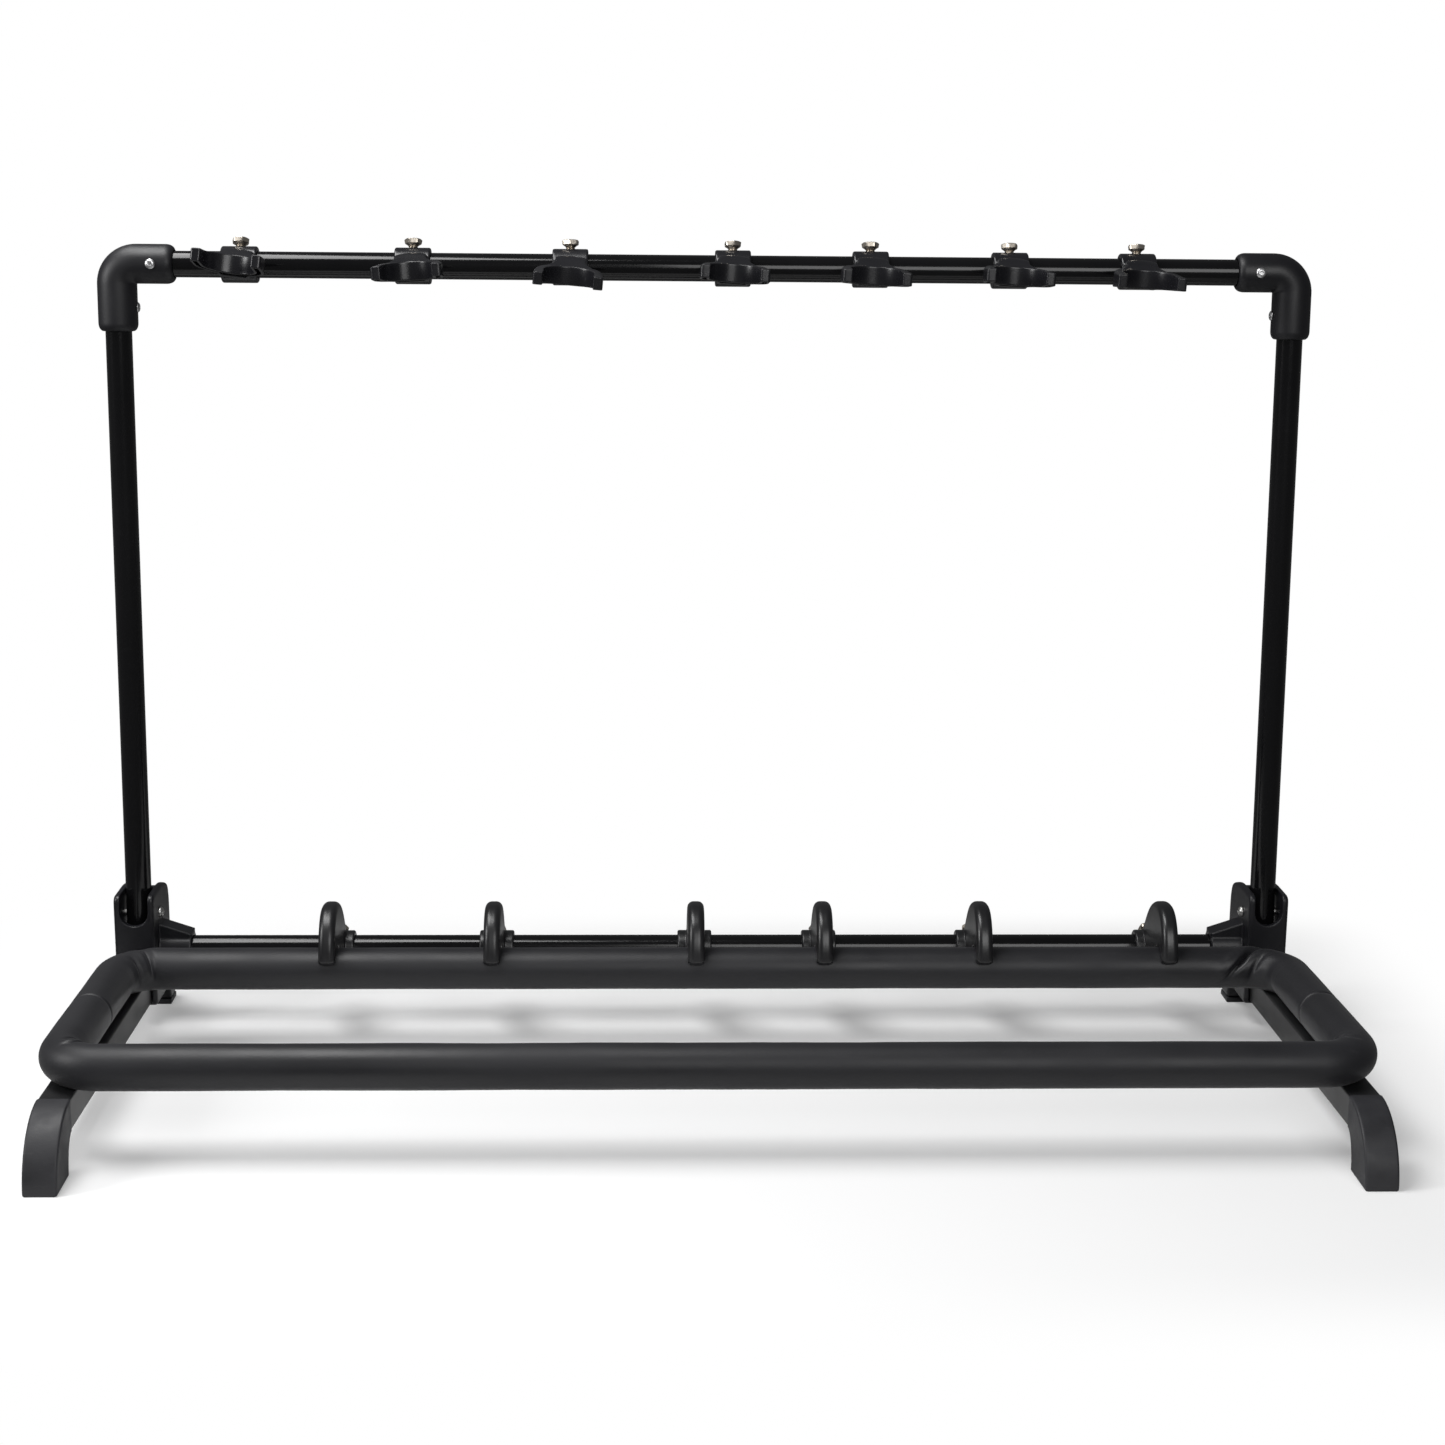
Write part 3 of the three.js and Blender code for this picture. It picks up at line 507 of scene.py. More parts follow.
# round tubes
def tubeShape(length):
    outer, inner, ease = tubing["radius"], tubing["radius"] - tubing["wall"], tubing["ease"]
    half = length / 2
    profile = [(outer - ease, -half), (outer, ease - half), (outer, half - ease), (outer - ease, half),
               (inner + ease, half), (inner, half - ease), (inner, ease - half), (inner + ease, -half)]
    return lathe(profile, tubing["segments"], closed=True)


# A solid rod along Z with its ends chamfered.
def chamferedRod(radius, length, edge, segments):
    half = length / 2
    lower = [(radius - edge, -half), (radius, edge - half)]
    return lathe(lower + [(radius, half - edge), (radius - edge, half)], segments)


def makeTubes():
    upright = {"tail": 25.0, "stop": 17.0}  # below the pin, and short of the elbow's corner
    for node, centre, low, high in (("top_bar", topBar, barLow, barHigh),
                                    ("lower_bar", lowerBar, lowerLow, lowerHigh)):
        place = shift(*centre) @ turn(90, "Y")
        dress(makeObject(node + "_tube", *tubeShape(high[0] - low[0]), place), node)
    length = upright["tail"] + barRise - upright["stop"]
    for side, hand in sides:
        place = uprightFrame(side) @ shift(z=length / 2 - upright["tail"])
        dress(makeObject(f"upright_{hand}_tube", *tubeShape(length), place), f"upright_{hand}")


# square legs
def makeLegs():
    half, wall, corner, ease = legs["size"] / 2, legs["wall"], legs["corner"], legs["ease"]
    outer = tidyOutline(roundedBox(-half, -half, half, half, corner))
    inner, eased = inset(outer, wall), inset(outer, ease)
    length = (legHigh[1] - legLow[1]) / math.cos(legs["slope"]) - 2 * fit
    start = legLow[1] - legFront
    rings = []
    for outline, level in ((eased, 0), (outer, ease), (outer, length - ease), (eased, length),
                           (inner, length), (inner, 0)):
        rings.append(np.column_stack([outline, np.full(len(outline), level)]))
    shape = stitch(rings, closed=True)
    for side, hand in sides:
        place = legFrame @ shift(side * legX, start, 0) @ turn(-90, "X")
        dress(makeObject(f"side_leg_{hand}_tube", *shape, place), f"side_leg_{hand}")


# front feet
def makeFrontFeet():
    foot = {"width": 26.0, "shoulder": 26.2, "flat": 40.6, "edge": 1.8, "step": 3}
    half = foot["shoulder"] / 2
    lean, rise = half * math.sin(legs["slope"]), half * math.cos(legs["slope"])
    top = (legFront + lean, legs["frontHeight"] + rise)
    bottom = (legFront - lean, legs["frontHeight"] - rise)
    heel = footFront + foot["flat"]
    outline = ellipse(top[0], 0, top[0] - footFront, top[1], 90, 180, 40)
    outline += ellipse(bottom[0], 0, bottom[0] - heel, bottom[1], 180, 90, 20)
    dense = []  # the outline with a point at least at every step, so that the remesh keeps it even
    for a, b in zip(outline, outline[1:] + outline[:1]):
        steps = max(1, int(math.dist(a, b) / foot["step"]))
        dense += [(a[0] + (b[0] - a[0]) * k / steps, a[1] + (b[1] - a[1]) * k / steps) for k in range(steps)]
    for side, hand in sides:
        body = temp(prism(dense, foot["width"], foot["edge"], 4), shift(x=side * legX) @ acrossX)
        body = moulded(body, 0.55, 3, 0.35)
        body.name = f"front_foot_{hand}_moulding"
        dress(body, f"front_foot_{hand}")


# hinge brackets
def makeBrackets():
    size = {"width": 35.0, "height": 120.5, "base": 20.0, "depth": 72.0, "heel": 16.5, "heelLength": 24.5,
            "edge": 3.0, "frontWall": 6.0, "notch": 92.9, "channel": 24.0, "floor": 71.0, "pocket": 56.0,
            "webTall": 9.0, "webThick": 6.0, "webDrop": 6.5, "pad": 5.3, "pinHole": 3.3, "nutHole": 6.0,
            "nutDepth": 3.5, "socket": 15.0, "socketReach": 28.5, "socketLength": 30.0}
    rib = {"foot": 66.0, "tip": 80.5, "top": 91.0, "in": 3.0, "thick": 20.0, "edge": 1.2}
    half, slot = size["width"] / 2, size["channel"] / 2
    end = size["depth"] + size["heel"]
    tail = end - size["heelLength"]
    outline = rounded([
        (0, size["base"], 6), (0, size["height"], 8), (46, size["height"], 12), (68, 113.5, 6),
        (size["depth"], 100, 6), (size["depth"], 48, 12), (end, 30, 6), (end, size["pad"], 3),
        (tail, size["pad"], 3), (tail - 6, size["base"], 6)], 8)
    setback = hinge[1] - bracketFront
    barBack = lowerBar[1] - bracketFront
    body = temp(prism(outline, size["width"], size["edge"], 5), acrossX)
    socketMiddle = half + size["socketReach"] - size["socketLength"] / 2
    barrel = temp(chamferedRod(size["socket"], size["socketLength"], 1.0, 64),
                  shift(-socketMiddle, barBack, lowerBar[2]) @ turn(90, "Y"))
    ribEnd = -half - size["socketReach"] + fit
    ribOutline = [(rib["in"] - half, rib["foot"]), (ribEnd, rib["foot"]), (ribEnd, rib["tip"]),
                  (rib["in"] - half, rib["top"])]
    wedge = temp(prism(ribOutline, rib["thick"], rib["edge"], 3), shift(y=barBack) @ alongY)
    combine(body, [barrel, wedge], "UNION")

    past = size["height"] + 9  # the notch runs out through the top
    notch = [(slot, past), (-slot, past)] + arc(0, size["notch"] + slot, slot, 180, 360, 32)
    room = cuboid(2 * slot, end, size["height"])
    pocketSize = legs["size"] + 2 * fit
    pocket = cuboid(pocketSize, size["pocket"] + 20, pocketSize)
    pocketEnd = (bracketFront + size["pocket"] - legFront) / math.cos(legs["slope"])
    along = shift(y=-bracketFront) @ legFrame @ shift(y=pocketEnd - size["pocket"] / 2 - 10)
    bore = size["socketReach"] - fit
    borePlace = shift(-half - bore / 2 - fit, barBack, lowerBar[2]) @ turn(90, "Y")
    combine(body, [
        temp(prism(notch, size["frontWall"] + 3), shift(y=size["frontWall"] / 2 - 1) @ alongY),
        temp(room, shift(y=size["frontWall"] + end / 2, z=size["floor"] + size["height"] / 2)),
        temp(rod(tubing["bore"], bore, 64), borePlace),
        temp(rod(size["pinHole"], 3 * half), shift(y=setback, z=hinge[2]) @ turn(90, "Y")),
        temp(rod(size["nutHole"], 2 * size["nutDepth"], 6), shift(half, setback, hinge[2]) @ turn(90, "Y")),
        temp(pocket, along),
    ], "DIFFERENCE")
    tall, thick = size["webTall"] / 2, size["webThick"] / 2
    web = prism(roundedBox(-thick, -tall, thick, tall, 1), size["width"] - 5)
    stop = setback + tubing["radius"] + 1.2 + thick
    combine(body, [temp(web, shift(y=stop, z=size["height"] - size["webDrop"]) @ acrossX)], "UNION")
    moulded(body, 0.7, 3, 0.35)
    for side, hand in sides:
        place = shift(side * legX, bracketFront, 0) @ Matrix.Scale(side, 4, (1, 0, 0))
        obj = copyObject(body, f"hinge_bracket_{hand}_moulding", place)
        if side < 0:
            obj.data.flip_normals()
        dress(obj, f"hinge_bracket_{hand}")
    removeObject(body)


# corner elbows and rivets: a circle round centre, square to the direction that normal and up leave out.
def ringAt(centre, normal, up, radius, segments):
    angles = np.linspace(0, 2 * math.pi, segments, endpoint=False)
    return np.array(centre) + radius * (np.outer(np.cos(angles), normal) + np.outer(np.sin(angles), up))


def elbowShape(inward):
    size = {"radius": 16.5, "bend": 17.0, "arm": 48.6, "drop": 56.0, "roundAlong": 6.8, "roundAcross": 4.2,
            "lip": 1.0, "flare": 0.8, "depth": 18.0, "segments": 72}
    radius, bend, segments = size["radius"], size["bend"], size["segments"]
    # (distance back from the arm's end, radius), from inside the bore out to the full radius
    bore = tubing["bore"]
    ends = [(size["depth"], bore), (size["lip"], bore), (0.0, bore + size["flare"])]
    ends += [(size["roundAlong"] * (1 - math.sin(a)), radius - size["roundAcross"] * (1 - math.cos(a)))
             for a in np.radians(np.linspace(90, 0, 9))]
    rings = []
    side = np.array((0.0, 1.0, 0.0))
    for back, ringRadius in ends:
        centre = (0, 0, -size["drop"] + back)
        rings.append(ringAt(centre, np.array((inward, 0, 0.0)), side, ringRadius, segments))
    for angle in np.radians(np.linspace(180, 90, 22)):
        outward = np.array((inward * math.cos(angle), 0, math.sin(angle)))
        centre = np.array((inward * bend, 0, -bend)) + bend * outward
        rings.append(ringAt(centre, -outward, side, radius, segments))
    for back, ringRadius in ends[::-1]:
        centre = (inward * (size["arm"] - back), 0, 0)
        rings.append(ringAt(centre, np.array((0, 0, -1.0)), side, ringRadius, segments))
    return stitch(rings)


# A pulled rivet: domed flange with a dimple where its stem broke off.
def rivetShape():
    profile = [(0, -7), (2, -7), (2, 0), (4.1, 0), (4.2, 0.25), (4.0, 0.75), (3.3, 1.35), (2.4, 1.75),
               (1.75, 1.9), (1.45, 1.75), (1.3, 1.1), (1.2, 0.5), (0, 0.45)]
    return lathe(profile, 48)


def makeElbows():
    rivets = {"arm": 31.0, "drop": 36.0, "seat": 16.6}
    for side, hand in sides:
        place = uprightFrame(side) @ shift(z=barRise)
        elbow = makeObject(f"corner_elbow_{hand}_moulding", *elbowShape(-side), place, sharp=50)
        dress(elbow, f"corner_elbow_{hand}")
        front = place @ shift(-side * rivets["arm"], -rivets["seat"], 0) @ turn(90, "X")
        inner = place @ shift(-side * rivets["seat"], 0, -rivets["drop"]) @ turn(-side * 90, "Y")
        for node, seat in ((f"elbow_rivet_top_{hand}", front), (f"elbow_rivet_side_{hand}", inner)):
            dress(makeObject(node + "_head", *rivetShape(), seat, 40), node)


# bolts
def hexRadius(angles, acrossFlats):
    return acrossFlats / 2 / np.cos((angles + math.pi / 6) % (math.pi / 3) - math.pi / 6)


# A hex-headed bolt along Z from just clear of the bar, its thread showing under the head.
def clampBolt(reach):
    size = {"flats": 13.0, "head": 4.3, "thread": 4.0, "root": 3.35, "pitch": 1.25, "step": 0.156,
            "start": 11.4, "cone": 1.6}
    flats, top = size["flats"], reach + size["head"]
    rows = []  # (radius rule, height)
    height = size["start"]
    while height < reach - size["cone"]:
        rows.append(("thread", height))
        height += size["step"]
    rows += [("cone", reach - size["cone"]), ("washer", reach - 0.05)]
    rows += [("head", reach + above) for above in (0.01, 0.4)]
    rows += [("head", top - below) for below in (1.3, 0.9, 0.5, 0.15)]
    rows += [("rim", top), ("dish", top - 0.12), ("centre", top - 0.12)]
    fixed = {"cone": 4.1, "washer": flats * 0.45, "rim": flats * 0.45, "dish": flats * 0.39, "centre": 0.01}

    def shape(index, radii, angles):
        rule, at = rows[index]
        if rule == "thread":
            phase = (at / size["pitch"] - angles / (2 * math.pi)) % 1
            return size["root"] + (size["thread"] - size["root"]) * (1 - np.abs(2 * phase - 1)) ** 0.7
        if rule == "head":  # a hexagon whose corners are turned off above and below
            lower = flats / 2 * 0.96 + (at - reach) * 1.8
            upper = flats / 2 * 0.95 + (top - at) * 1.75
            return np.minimum(hexRadius(angles, flats), min(lower, upper))
        return np.full(len(angles), fixed[rule])

    return lathe([(1, at) for _, at in rows], 72, shape=shape)


def makeBolts():
    yoke = {"lean": 13.0, "reach": 18.4, "turned": 17}
    divider = {"lean": 60.0, "reach": 19.2, "turned": 23}
    for bolt, name, count, placeOf in ((yoke, "yoke_bolt", 7, lambda number: yokePlace(number)[0]),
                                       (divider, "divider_bolt", 6, dividerPlace)):
        for number in range(1, count + 1):
            place = placeOf(number) @ turn(-bolt["lean"], "X") @ turn(bolt["turned"] * number, "Z")
            obj = makeObject(f"{name}_{number}_hex", *clampBolt(bolt["reach"]), place, 28)
            dress(obj, f"{name}_{number}")


# Button heads with a hex socket on the inner faces, thin nuts sunk in the outer faces.
def makeHingePins():
    size = {"face": 17.5, "head": 4.7, "rim": 0.5, "dome": 3.2, "domeSteps": 7, "domeAngle": 62, "key": 4.0,
            "shank": 3.0, "length": 36.0, "nutFlats": 10.0, "nut": 3.2, "nutEdge": 0.35}
    # (radius rule or radius, height)
    shank, head = size["shank"], size["head"]
    rows = [(shank, -size["length"]), (shank, 0), (head, 0), (head, size["rim"])]
    tallest = math.sin(math.radians(size["domeAngle"]))
    for step in range(1, size["domeSteps"] + 1):
        angle = math.radians(step / size["domeSteps"] * size["domeAngle"])
        rise = (size["dome"] - size["rim"]) * math.sin(angle) / tallest
        rows.append((head * math.cos(angle), size["rim"] + rise))
    rows += [("key", 3.05), ("key", 1.3), (0.01, 1.1)]
    hole, nut, edge = shank + fit, size["nut"], size["nutEdge"]
    nutRows = [(hole, 0), ("flat", 0), ("hex", edge), ("hex", nut - edge), ("flat", nut), (hole, nut)]

    def radiiOf(ruled):
        def shape(index, radii, angles):
            rule = ruled[index][0]
            if rule == "key":
                return hexRadius(angles, size["key"])
            if rule in ("hex", "flat"):
                hexed = hexRadius(angles, size["nutFlats"])
                return hexed if rule == "hex" else np.minimum(hexed, size["nutFlats"] / 2)
            return np.full(len(angles), rule)

        return shape

    pinShape = lathe([(1, at) for _, at in rows], 72, shape=radiiOf(rows))
    nutShape = lathe([(1, at) for _, at in nutRows], 72, closed=True, shape=radiiOf(nutRows))
    for side, hand in sides:
        face = shift(side * (legX - size["face"] - fit), hinge[1], hinge[2]) @ turn(-side * 90, "Y")
        dress(makeObject(f"hinge_pin_bolt_{hand}_head", *pinShape, face, 35), f"hinge_pin_bolt_{hand}")
        seat = shift(side * (legX + size["face"] - nut), hinge[1], hinge[2]) @ turn(side * 90, "Y")
        dress(makeObject(f"hinge_pin_nut_{hand}_hex", *nutShape, seat, 28), f"hinge_pin_nut_{hand}")


# yokes
# The collar's place, and the fork's, which is rolled to where its joint says rest is.
def yokePlace(number):
    swivel = joints[f"yoke_{number}_swivel"]
    pitch = math.degrees(math.atan2(-swivel["axis"][2], swivel["axis"][1]))
    roll = -sum(swivel["range_deg"]) / 2
    collar = shift(*(np.array(swivel["pos_m"]) / mm)) @ turn(-pitch, "X")
    return collar, collar @ turn(roll, "Y")


collar = {"radius": 15.2, "width": 30.0, "edge": 0.9, "boltHole": 4.3}


def collarBody():
    return temp(chamferedRod(collar["radius"], collar["width"], collar["edge"], 72), turn(90, "Y"))


# The bar's bore and the bolt's hole, which leans forward by so many degrees.
def collarHoles(lean):
    return [temp(rod(tubing["bore"], 2 * collar["width"], 72), turn(90, "Y")),
            temp(rod(collar["boltHole"], 12, 32), turn(-lean, "X") @ shift(z=14))]


def makeYokes():
    pad = {"front": 16.0, "half": 13.0, "top": 9.0, "bottom": -11.0, "corner": 3, "depth": 9, "pinHole": 3.3}
    body = collarBody()
    block = roundedBox(-pad["half"], pad["bottom"], pad["half"], pad["top"], pad["corner"])
    blockPlace = shift(y=-pad["front"] + pad["depth"] / 2) @ alongY
    combine(body, [temp(prism(block, pad["depth"], 0.8, 3), blockPlace)], "UNION")
    bore, boltHole = collarHoles(13)
    pinHole = temp(rod(pad["pinHole"], 12, 32), shift(y=-14) @ turn(90, "X"))
    combine(body, [bore, pinHole, boltHole], "DIFFERENCE")
    moulded(body, 0.45, 2, 0.4)

    fork = makeFork()
    for number in range(1, 8):
        collarPlace, forkPlace = yokePlace(number)
        dress(copyObject(body, f"yoke_collar_{number}_moulding", collarPlace), f"yoke_collar_{number}")
        dress(copyObject(fork, f"yoke_fork_{number}_moulding", forkPlace), f"yoke_fork_{number}")
    removeObject(body)
    removeObject(fork)


def forkOutline(size, shrink, rootShrink):
    outer = size["inner"] + size["prong"] - shrink
    inner = size["inner"] + shrink
    neck = size["neck"] - shrink
    root = -size["root"] - rootShrink
    tip, centre, soft = -size["reach"] + shrink, -size["centre"], size["tipRound"]
    shoulder = math.degrees(math.acos(neck / outer))
    swing = arc(0, centre, outer, shoulder - size["blend"], 0, 24)
    corner = (neck, centre + outer * math.sin(math.radians(shoulder)))
    half = [(neck, root)]
    half += bezier((neck, corner[1] + 5), (neck, corner[1] + 1), corner, swing[0], 8)
    half += swing
    third = soft / 3
    half += bezier((outer, tip + soft), (outer, tip + third), (outer - third, tip), (outer - soft, tip), 6)
    half += bezier((inner + 1, tip), (inner + 0.4, tip), (inner, tip + 0.4), (inner, tip + 1), 3)
    return half + arc(0, centre, inner, 0, 180, 48) + [(-x, y) for x, y in half[::-1]]


# The top and bottom of a fork at a place on its plan: arched across, and sinking towards the tips.
def forkHeights(size, x, y):
    level = [-size["reach"], -60, -46, -size["waist"], -26, -20, -size["root"]]
    tops = [1.4, 2.1, 2.9, 3.7, 7.0, 10.8, 12.0]
    under = [-9.4, -10.2, -11.0, -11.8, -12.6, -13.3, -13.5]
    arch = size["rise"] - size["crown"] + np.sqrt(size["crown"] ** 2 - np.minimum(np.abs(x), 35) ** 2)
    side = np.interp(y, level, tops)
    blend = 1.5
    top = (arch + side - np.sqrt((arch - side) ** 2 + blend)) / 2  # the lower of the two, blended
    return top, np.interp(y, level, under)


# A hollow crescent, open underneath, with a stub behind it that turns in the collar.
def makeFork():
    size = {"inner": 20.8, "prong": 7.9, "neck": 13.0, "root": 16.3, "reach": 73.0, "centre": 53.0,
            "waist": 32.0, "rise": 11.5, "crown": 44.0, "skin": 2.1, "roof": 2.6, "rootWall": 6.0,
            "blend": 12.0, "tipRound": 2.6, "pin": 3.0, "pinLength": 5.8, "pinMiddle": 15.1, "pinLift": 0.8}
    tall = 20.0  # drawn with flat faces this far apart, then bent to its real heights
    outside = temp(prism(forkOutline(size, 0, 0), tall, 1.0, 3))
    inside = temp(prism(forkOutline(size, size["skin"], size["rootWall"]), tall), shift(z=-size["roof"]))
    combine(outside, [inside], "DIFFERENCE")
    stub = rod(size["pin"], size["pinLength"], 32)
    combine(outside, [temp(stub, shift(y=-size["pinMiddle"], z=size["pinLift"]) @ turn(90, "X"))], "UNION")
    moulded(outside, 0.42, 1, 0.3)
    mesh = outside.data
    co = np.empty(len(mesh.vertices) * 3)
    mesh.vertices.foreach_get("co", co)
    co = co.reshape(-1, 3) / mm
    top, under = forkHeights(size, co[:, 0], co[:, 1])
    co[:, 2] = under + (top - under) * (co[:, 2] + tall / 2) / tall
    mesh.vertices.foreach_set("co", (co * mm).ravel())
    mesh.update()
    return outside


# dividers
def dividerPlace(number):
    low, high = boxMm(f"divider_{number}")
    return shift((low[0] + high[0]) / 2, lowerBar[1], lowerBar[2])


def makeDividers():
    size = {"thick": 14.3, "top": 55.5, "crest": -52, "saddle": 18.9, "lip": 3.5, "rim": 5.2, "dot": 1.9,
            "dotProud": 0.5}
    rear = legFrame @ Vector((0, loop["rear"], loop["lift"]))
    saddleY, saddleZ = rear[1] - lowerBar[1], rear[2] - lowerBar[2]
    front, top, crest = saddleY - size["saddle"] - size["lip"], size["top"], size["crest"]
    crown = bezier((10.5, 10.5), (-8, 34), (-20, top), (crest, top), 28)
    crown += bezier((crest, top), (front + 16, top), (front + 2, 38), (front, saddleZ + 12), 24)
    body = plateWithBullnose(crown, arc(saddleY, saddleZ, size["saddle"], 155, 12, 40), size)
    combine(body, [collarBody()], "UNION")
    # a low round boss on both sides
    half, proud, dot = size["thick"] / 2, size["dotProud"], size["dot"]
    boss = lathe([(dot - 0.2, -half - proud), (dot, -half), (dot, half), (dot - 0.2, half + proud)], 32)
    combine(body, [temp(boss, shift(y=-44, z=14) @ turn(90, "Y"))], "UNION")
    combine(body, collarHoles(60), "DIFFERENCE")
    moulded(body, 0.5, 3, 0.35)
    for number in range(1, 7):
        dress(copyObject(body, f"divider_{number}_moulding", dividerPlace(number)), f"divider_{number}")
    removeObject(body)


# The plate, its crown rounded like a bullnose while the saddle and foot keep square edges.
def plateWithBullnose(crown, saddle, size):
    outline = tidyOutline(crown + saddle + [(-10, -7), (6, -8)])
    far = np.min(np.linalg.norm(outline[:, None] - np.array(crown)[None], axis=2), axis=1)
    depthShare = np.where(far < 0.05, 1.0, 0.15)
    for _ in range(4):
        depthShare = (np.roll(depthShare, 1) + depthShare * 2 + np.roll(depthShare, -1)) / 4
    inward = (inset(outline, 1.0) - outline) * depthShare[:, None]
    lower = rimLevels(size["thick"], size["rim"], 6)
    rings = []
    for height, depth in lower + [(-height, depth) for height, depth in lower[::-1]]:
        rings.append(np.column_stack([outline + inward * depth, np.full(len(outline), height)]))
    return temp(stitch(rings), acrossX)


# foam loop
loop = {"radius": 17.9, "corner": 35.0, "overhang": 4.0, "front": 19.5, "rearGap": 36.6, "seamGap": 0.04,
        "seamRound": 3.0, "uneven": 0.3, "fineUneven": 0.1, "fullest": 0.7, "squeeze": 0.9, "segments": 88}
loop["lift"] = legs["size"] / 2 + fit + loop["radius"]
loop["rear"] = (bracketFront - legFront) / math.cos(legs["slope"]) - loop["rearGap"]
loop["middle"] = (loop["front"] + loop["rear"]) / 2
loop["x"] = legX + loop["overhang"]


# A place on half of the loop, and the way out of the loop there, from the left side's middle.
def loopPoint(end, direction, distance):
    bend, x = loop["corner"], loop["x"]
    start = loop["middle"] + direction * loop["seamGap"]
    turnY = end - direction * bend
    side, quarter, bar = abs(turnY - start), bend * math.pi / 2, 2 * (x - bend)
    total = 2 * side + 2 * quarter + bar
    mirrored = distance > total / 2
    near = total - distance if mirrored else distance
    if near < side:
        point, out = (-x, start + direction * near), (-1.0, 0.0)
    elif near < side + quarter:
        angle = (near - side) / bend
        out = (-math.cos(angle), direction * math.sin(angle))
        point = (-x + bend + bend * out[0], turnY + bend * out[1])
    else:
        point, out = (-x + bend + near - side - quarter, end), (0.0, float(direction))
    if mirrored:
        point, out = (-point[0], point[1]), (-out[0], out[1])
    return np.array((*point, 0.0)), np.array((*out, 0.0)), total, side, quarter


# Where the rings stand along a sleeve: close together at its ends and round its corners.
def foamStations(total, corners, quarter):
    stations = []
    at = 0.0
    while at < total:
        stations.append(at)
        nearSeam = min(at, total - at)
        nearCorner = min(abs(at - corner) for corner in corners)
        at += 0.45 if nearSeam < 3 else (1.3 if nearCorner < quarter * 0.95 else 3.6)
    return stations + [total]


def foamSleeve(end, direction, creases, seed):
    _, _, total, side, quarter = loopPoint(end, direction, 0)
    corners = (side + quarter / 2, total - side - quarter / 2)
    stations = foamStations(total, corners, quarter)
    segments, seamRound = loop["segments"], loop["seamRound"]
    angles = np.linspace(0, 2 * math.pi, segments, endpoint=False)
    lift = np.array((0, 0, loop["lift"]))

    def ringAround(at):
        point, out, *_ = loopPoint(end, direction, at)
        return point, np.outer(np.cos(angles), out) + np.outer(np.sin(angles), np.array((0.0, 0.0, 1.0)))

    rings = []
    for at in stations:
        point, around = ringAround(at)
        nearSeam = min(at, total - at)
        nearCorner = min(abs(at - corner) for corner in corners)
        radii = np.full(segments, loop["radius"])
        bentness = max(0.0, 1 - (nearCorner / (quarter * 0.72)) ** 2)
        inner = np.clip(-np.cos(angles), 0, 1)
        radii -= loop["squeeze"] * bentness * inner**2  # squeezed on the inside of the bend
        for k in range(segments):
            place = Vector(point + around[k] * loop["radius"])
            radii[k] += loop["uneven"] * noise.noise(place * 0.011 + Vector((seed, 0, 0)))
            radii[k] += loop["fineUneven"] * noise.noise(place * 0.05 + Vector((0, seed, 0)))
        for crease in creases:
            radii += creaseDepth(crease, at, corners, angles)
        if nearSeam < seamRound:
            radii -= seamRound * (1 - math.sqrt(max(0.0, 1 - (1 - nearSeam / seamRound) ** 2)))
        radii = np.minimum(radii, loop["radius"] + loop["fullest"])
        rings.append(point + around * radii[:, None] + lift)
    bore = [0, *range(1, len(stations) - 1, 6), len(stations) - 1]
    for index in bore[::-1]:
        point, around = ringAround(stations[index])
        rings.append(point + around * tubing["bore"] + lift)
    return stitch(rings, closed=True)


# A fold that runs round part of the foam, slanting, with a soft swell beside it.
def creaseDepth(crease, at, corners, angles):
    centre = corners[crease["corner"]] + crease["offset"]
    away = (angles - math.radians(crease["facing"]) + math.pi) % (2 * math.pi) - math.pi
    along = at - centre - crease["slant"] * away
    reach = np.clip(1 - (away / math.radians(crease["reach"])) ** 2, 0, 1) ** 1.5
    groove = -crease["depth"] * np.exp(-((along / crease["width"]) ** 2))
    beside = along - crease["side"] * crease["width"] * 2.6
    swell = crease["swell"] * np.exp(-((beside / (crease["width"] * 2.2)) ** 2))
    return reach * (groove + swell)


def makeFoam():
    frontCreases = [
        {"corner": 0, "offset": 6, "facing": 112, "reach": 52, "slant": 7, "width": 1.5, "depth": 3.0,
         "swell": 0.8, "side": -1},
        {"corner": 0, "offset": -10, "facing": 130, "reach": 55, "slant": -4, "width": 2.0, "depth": 2.6,
         "swell": 0.6, "side": 1},
        {"corner": 1, "offset": 2, "facing": 118, "reach": 58, "slant": -7, "width": 2.4, "depth": 2.4,
         "swell": 0.6, "side": -1},
        {"corner": 1, "offset": 15, "facing": 150, "reach": 60, "slant": 4, "width": 2.4, "depth": 2.0,
         "swell": 0.5, "side": 1},
    ]
    rearCreases = [
        {"corner": 1, "offset": -27, "facing": 130, "reach": 90, "slant": -15, "width": 3.0, "depth": 5.6,
         "swell": 1.4, "side": -1},
        {"corner": 1, "offset": -12, "facing": 150, "reach": 60, "slant": -10, "width": 4.5, "depth": 2.2,
         "swell": 0.6, "side": 1},
        {"corner": 0, "offset": 14, "facing": 128, "reach": 75, "slant": 3, "width": 3.6, "depth": 3.4,
         "swell": 0.7, "side": 1},
        {"corner": 0, "offset": -5, "facing": 160, "reach": 55, "slant": 3, "width": 3.5, "depth": 2.0,
         "swell": 0.5, "side": -1},
    ]
    sleeves = (("foam_sleeve_front", loop["front"], -1, frontCreases, 3.1),
               ("foam_sleeve_rear", loop["rear"], 1, rearCreases, 8.7))
    for node, end, direction, creases, seed in sleeves:
        shape = foamSleeve(end, direction, creases, seed)
        obj = dress(makeObject(node + "_skin", *shape, legFrame, sharp=60), node)


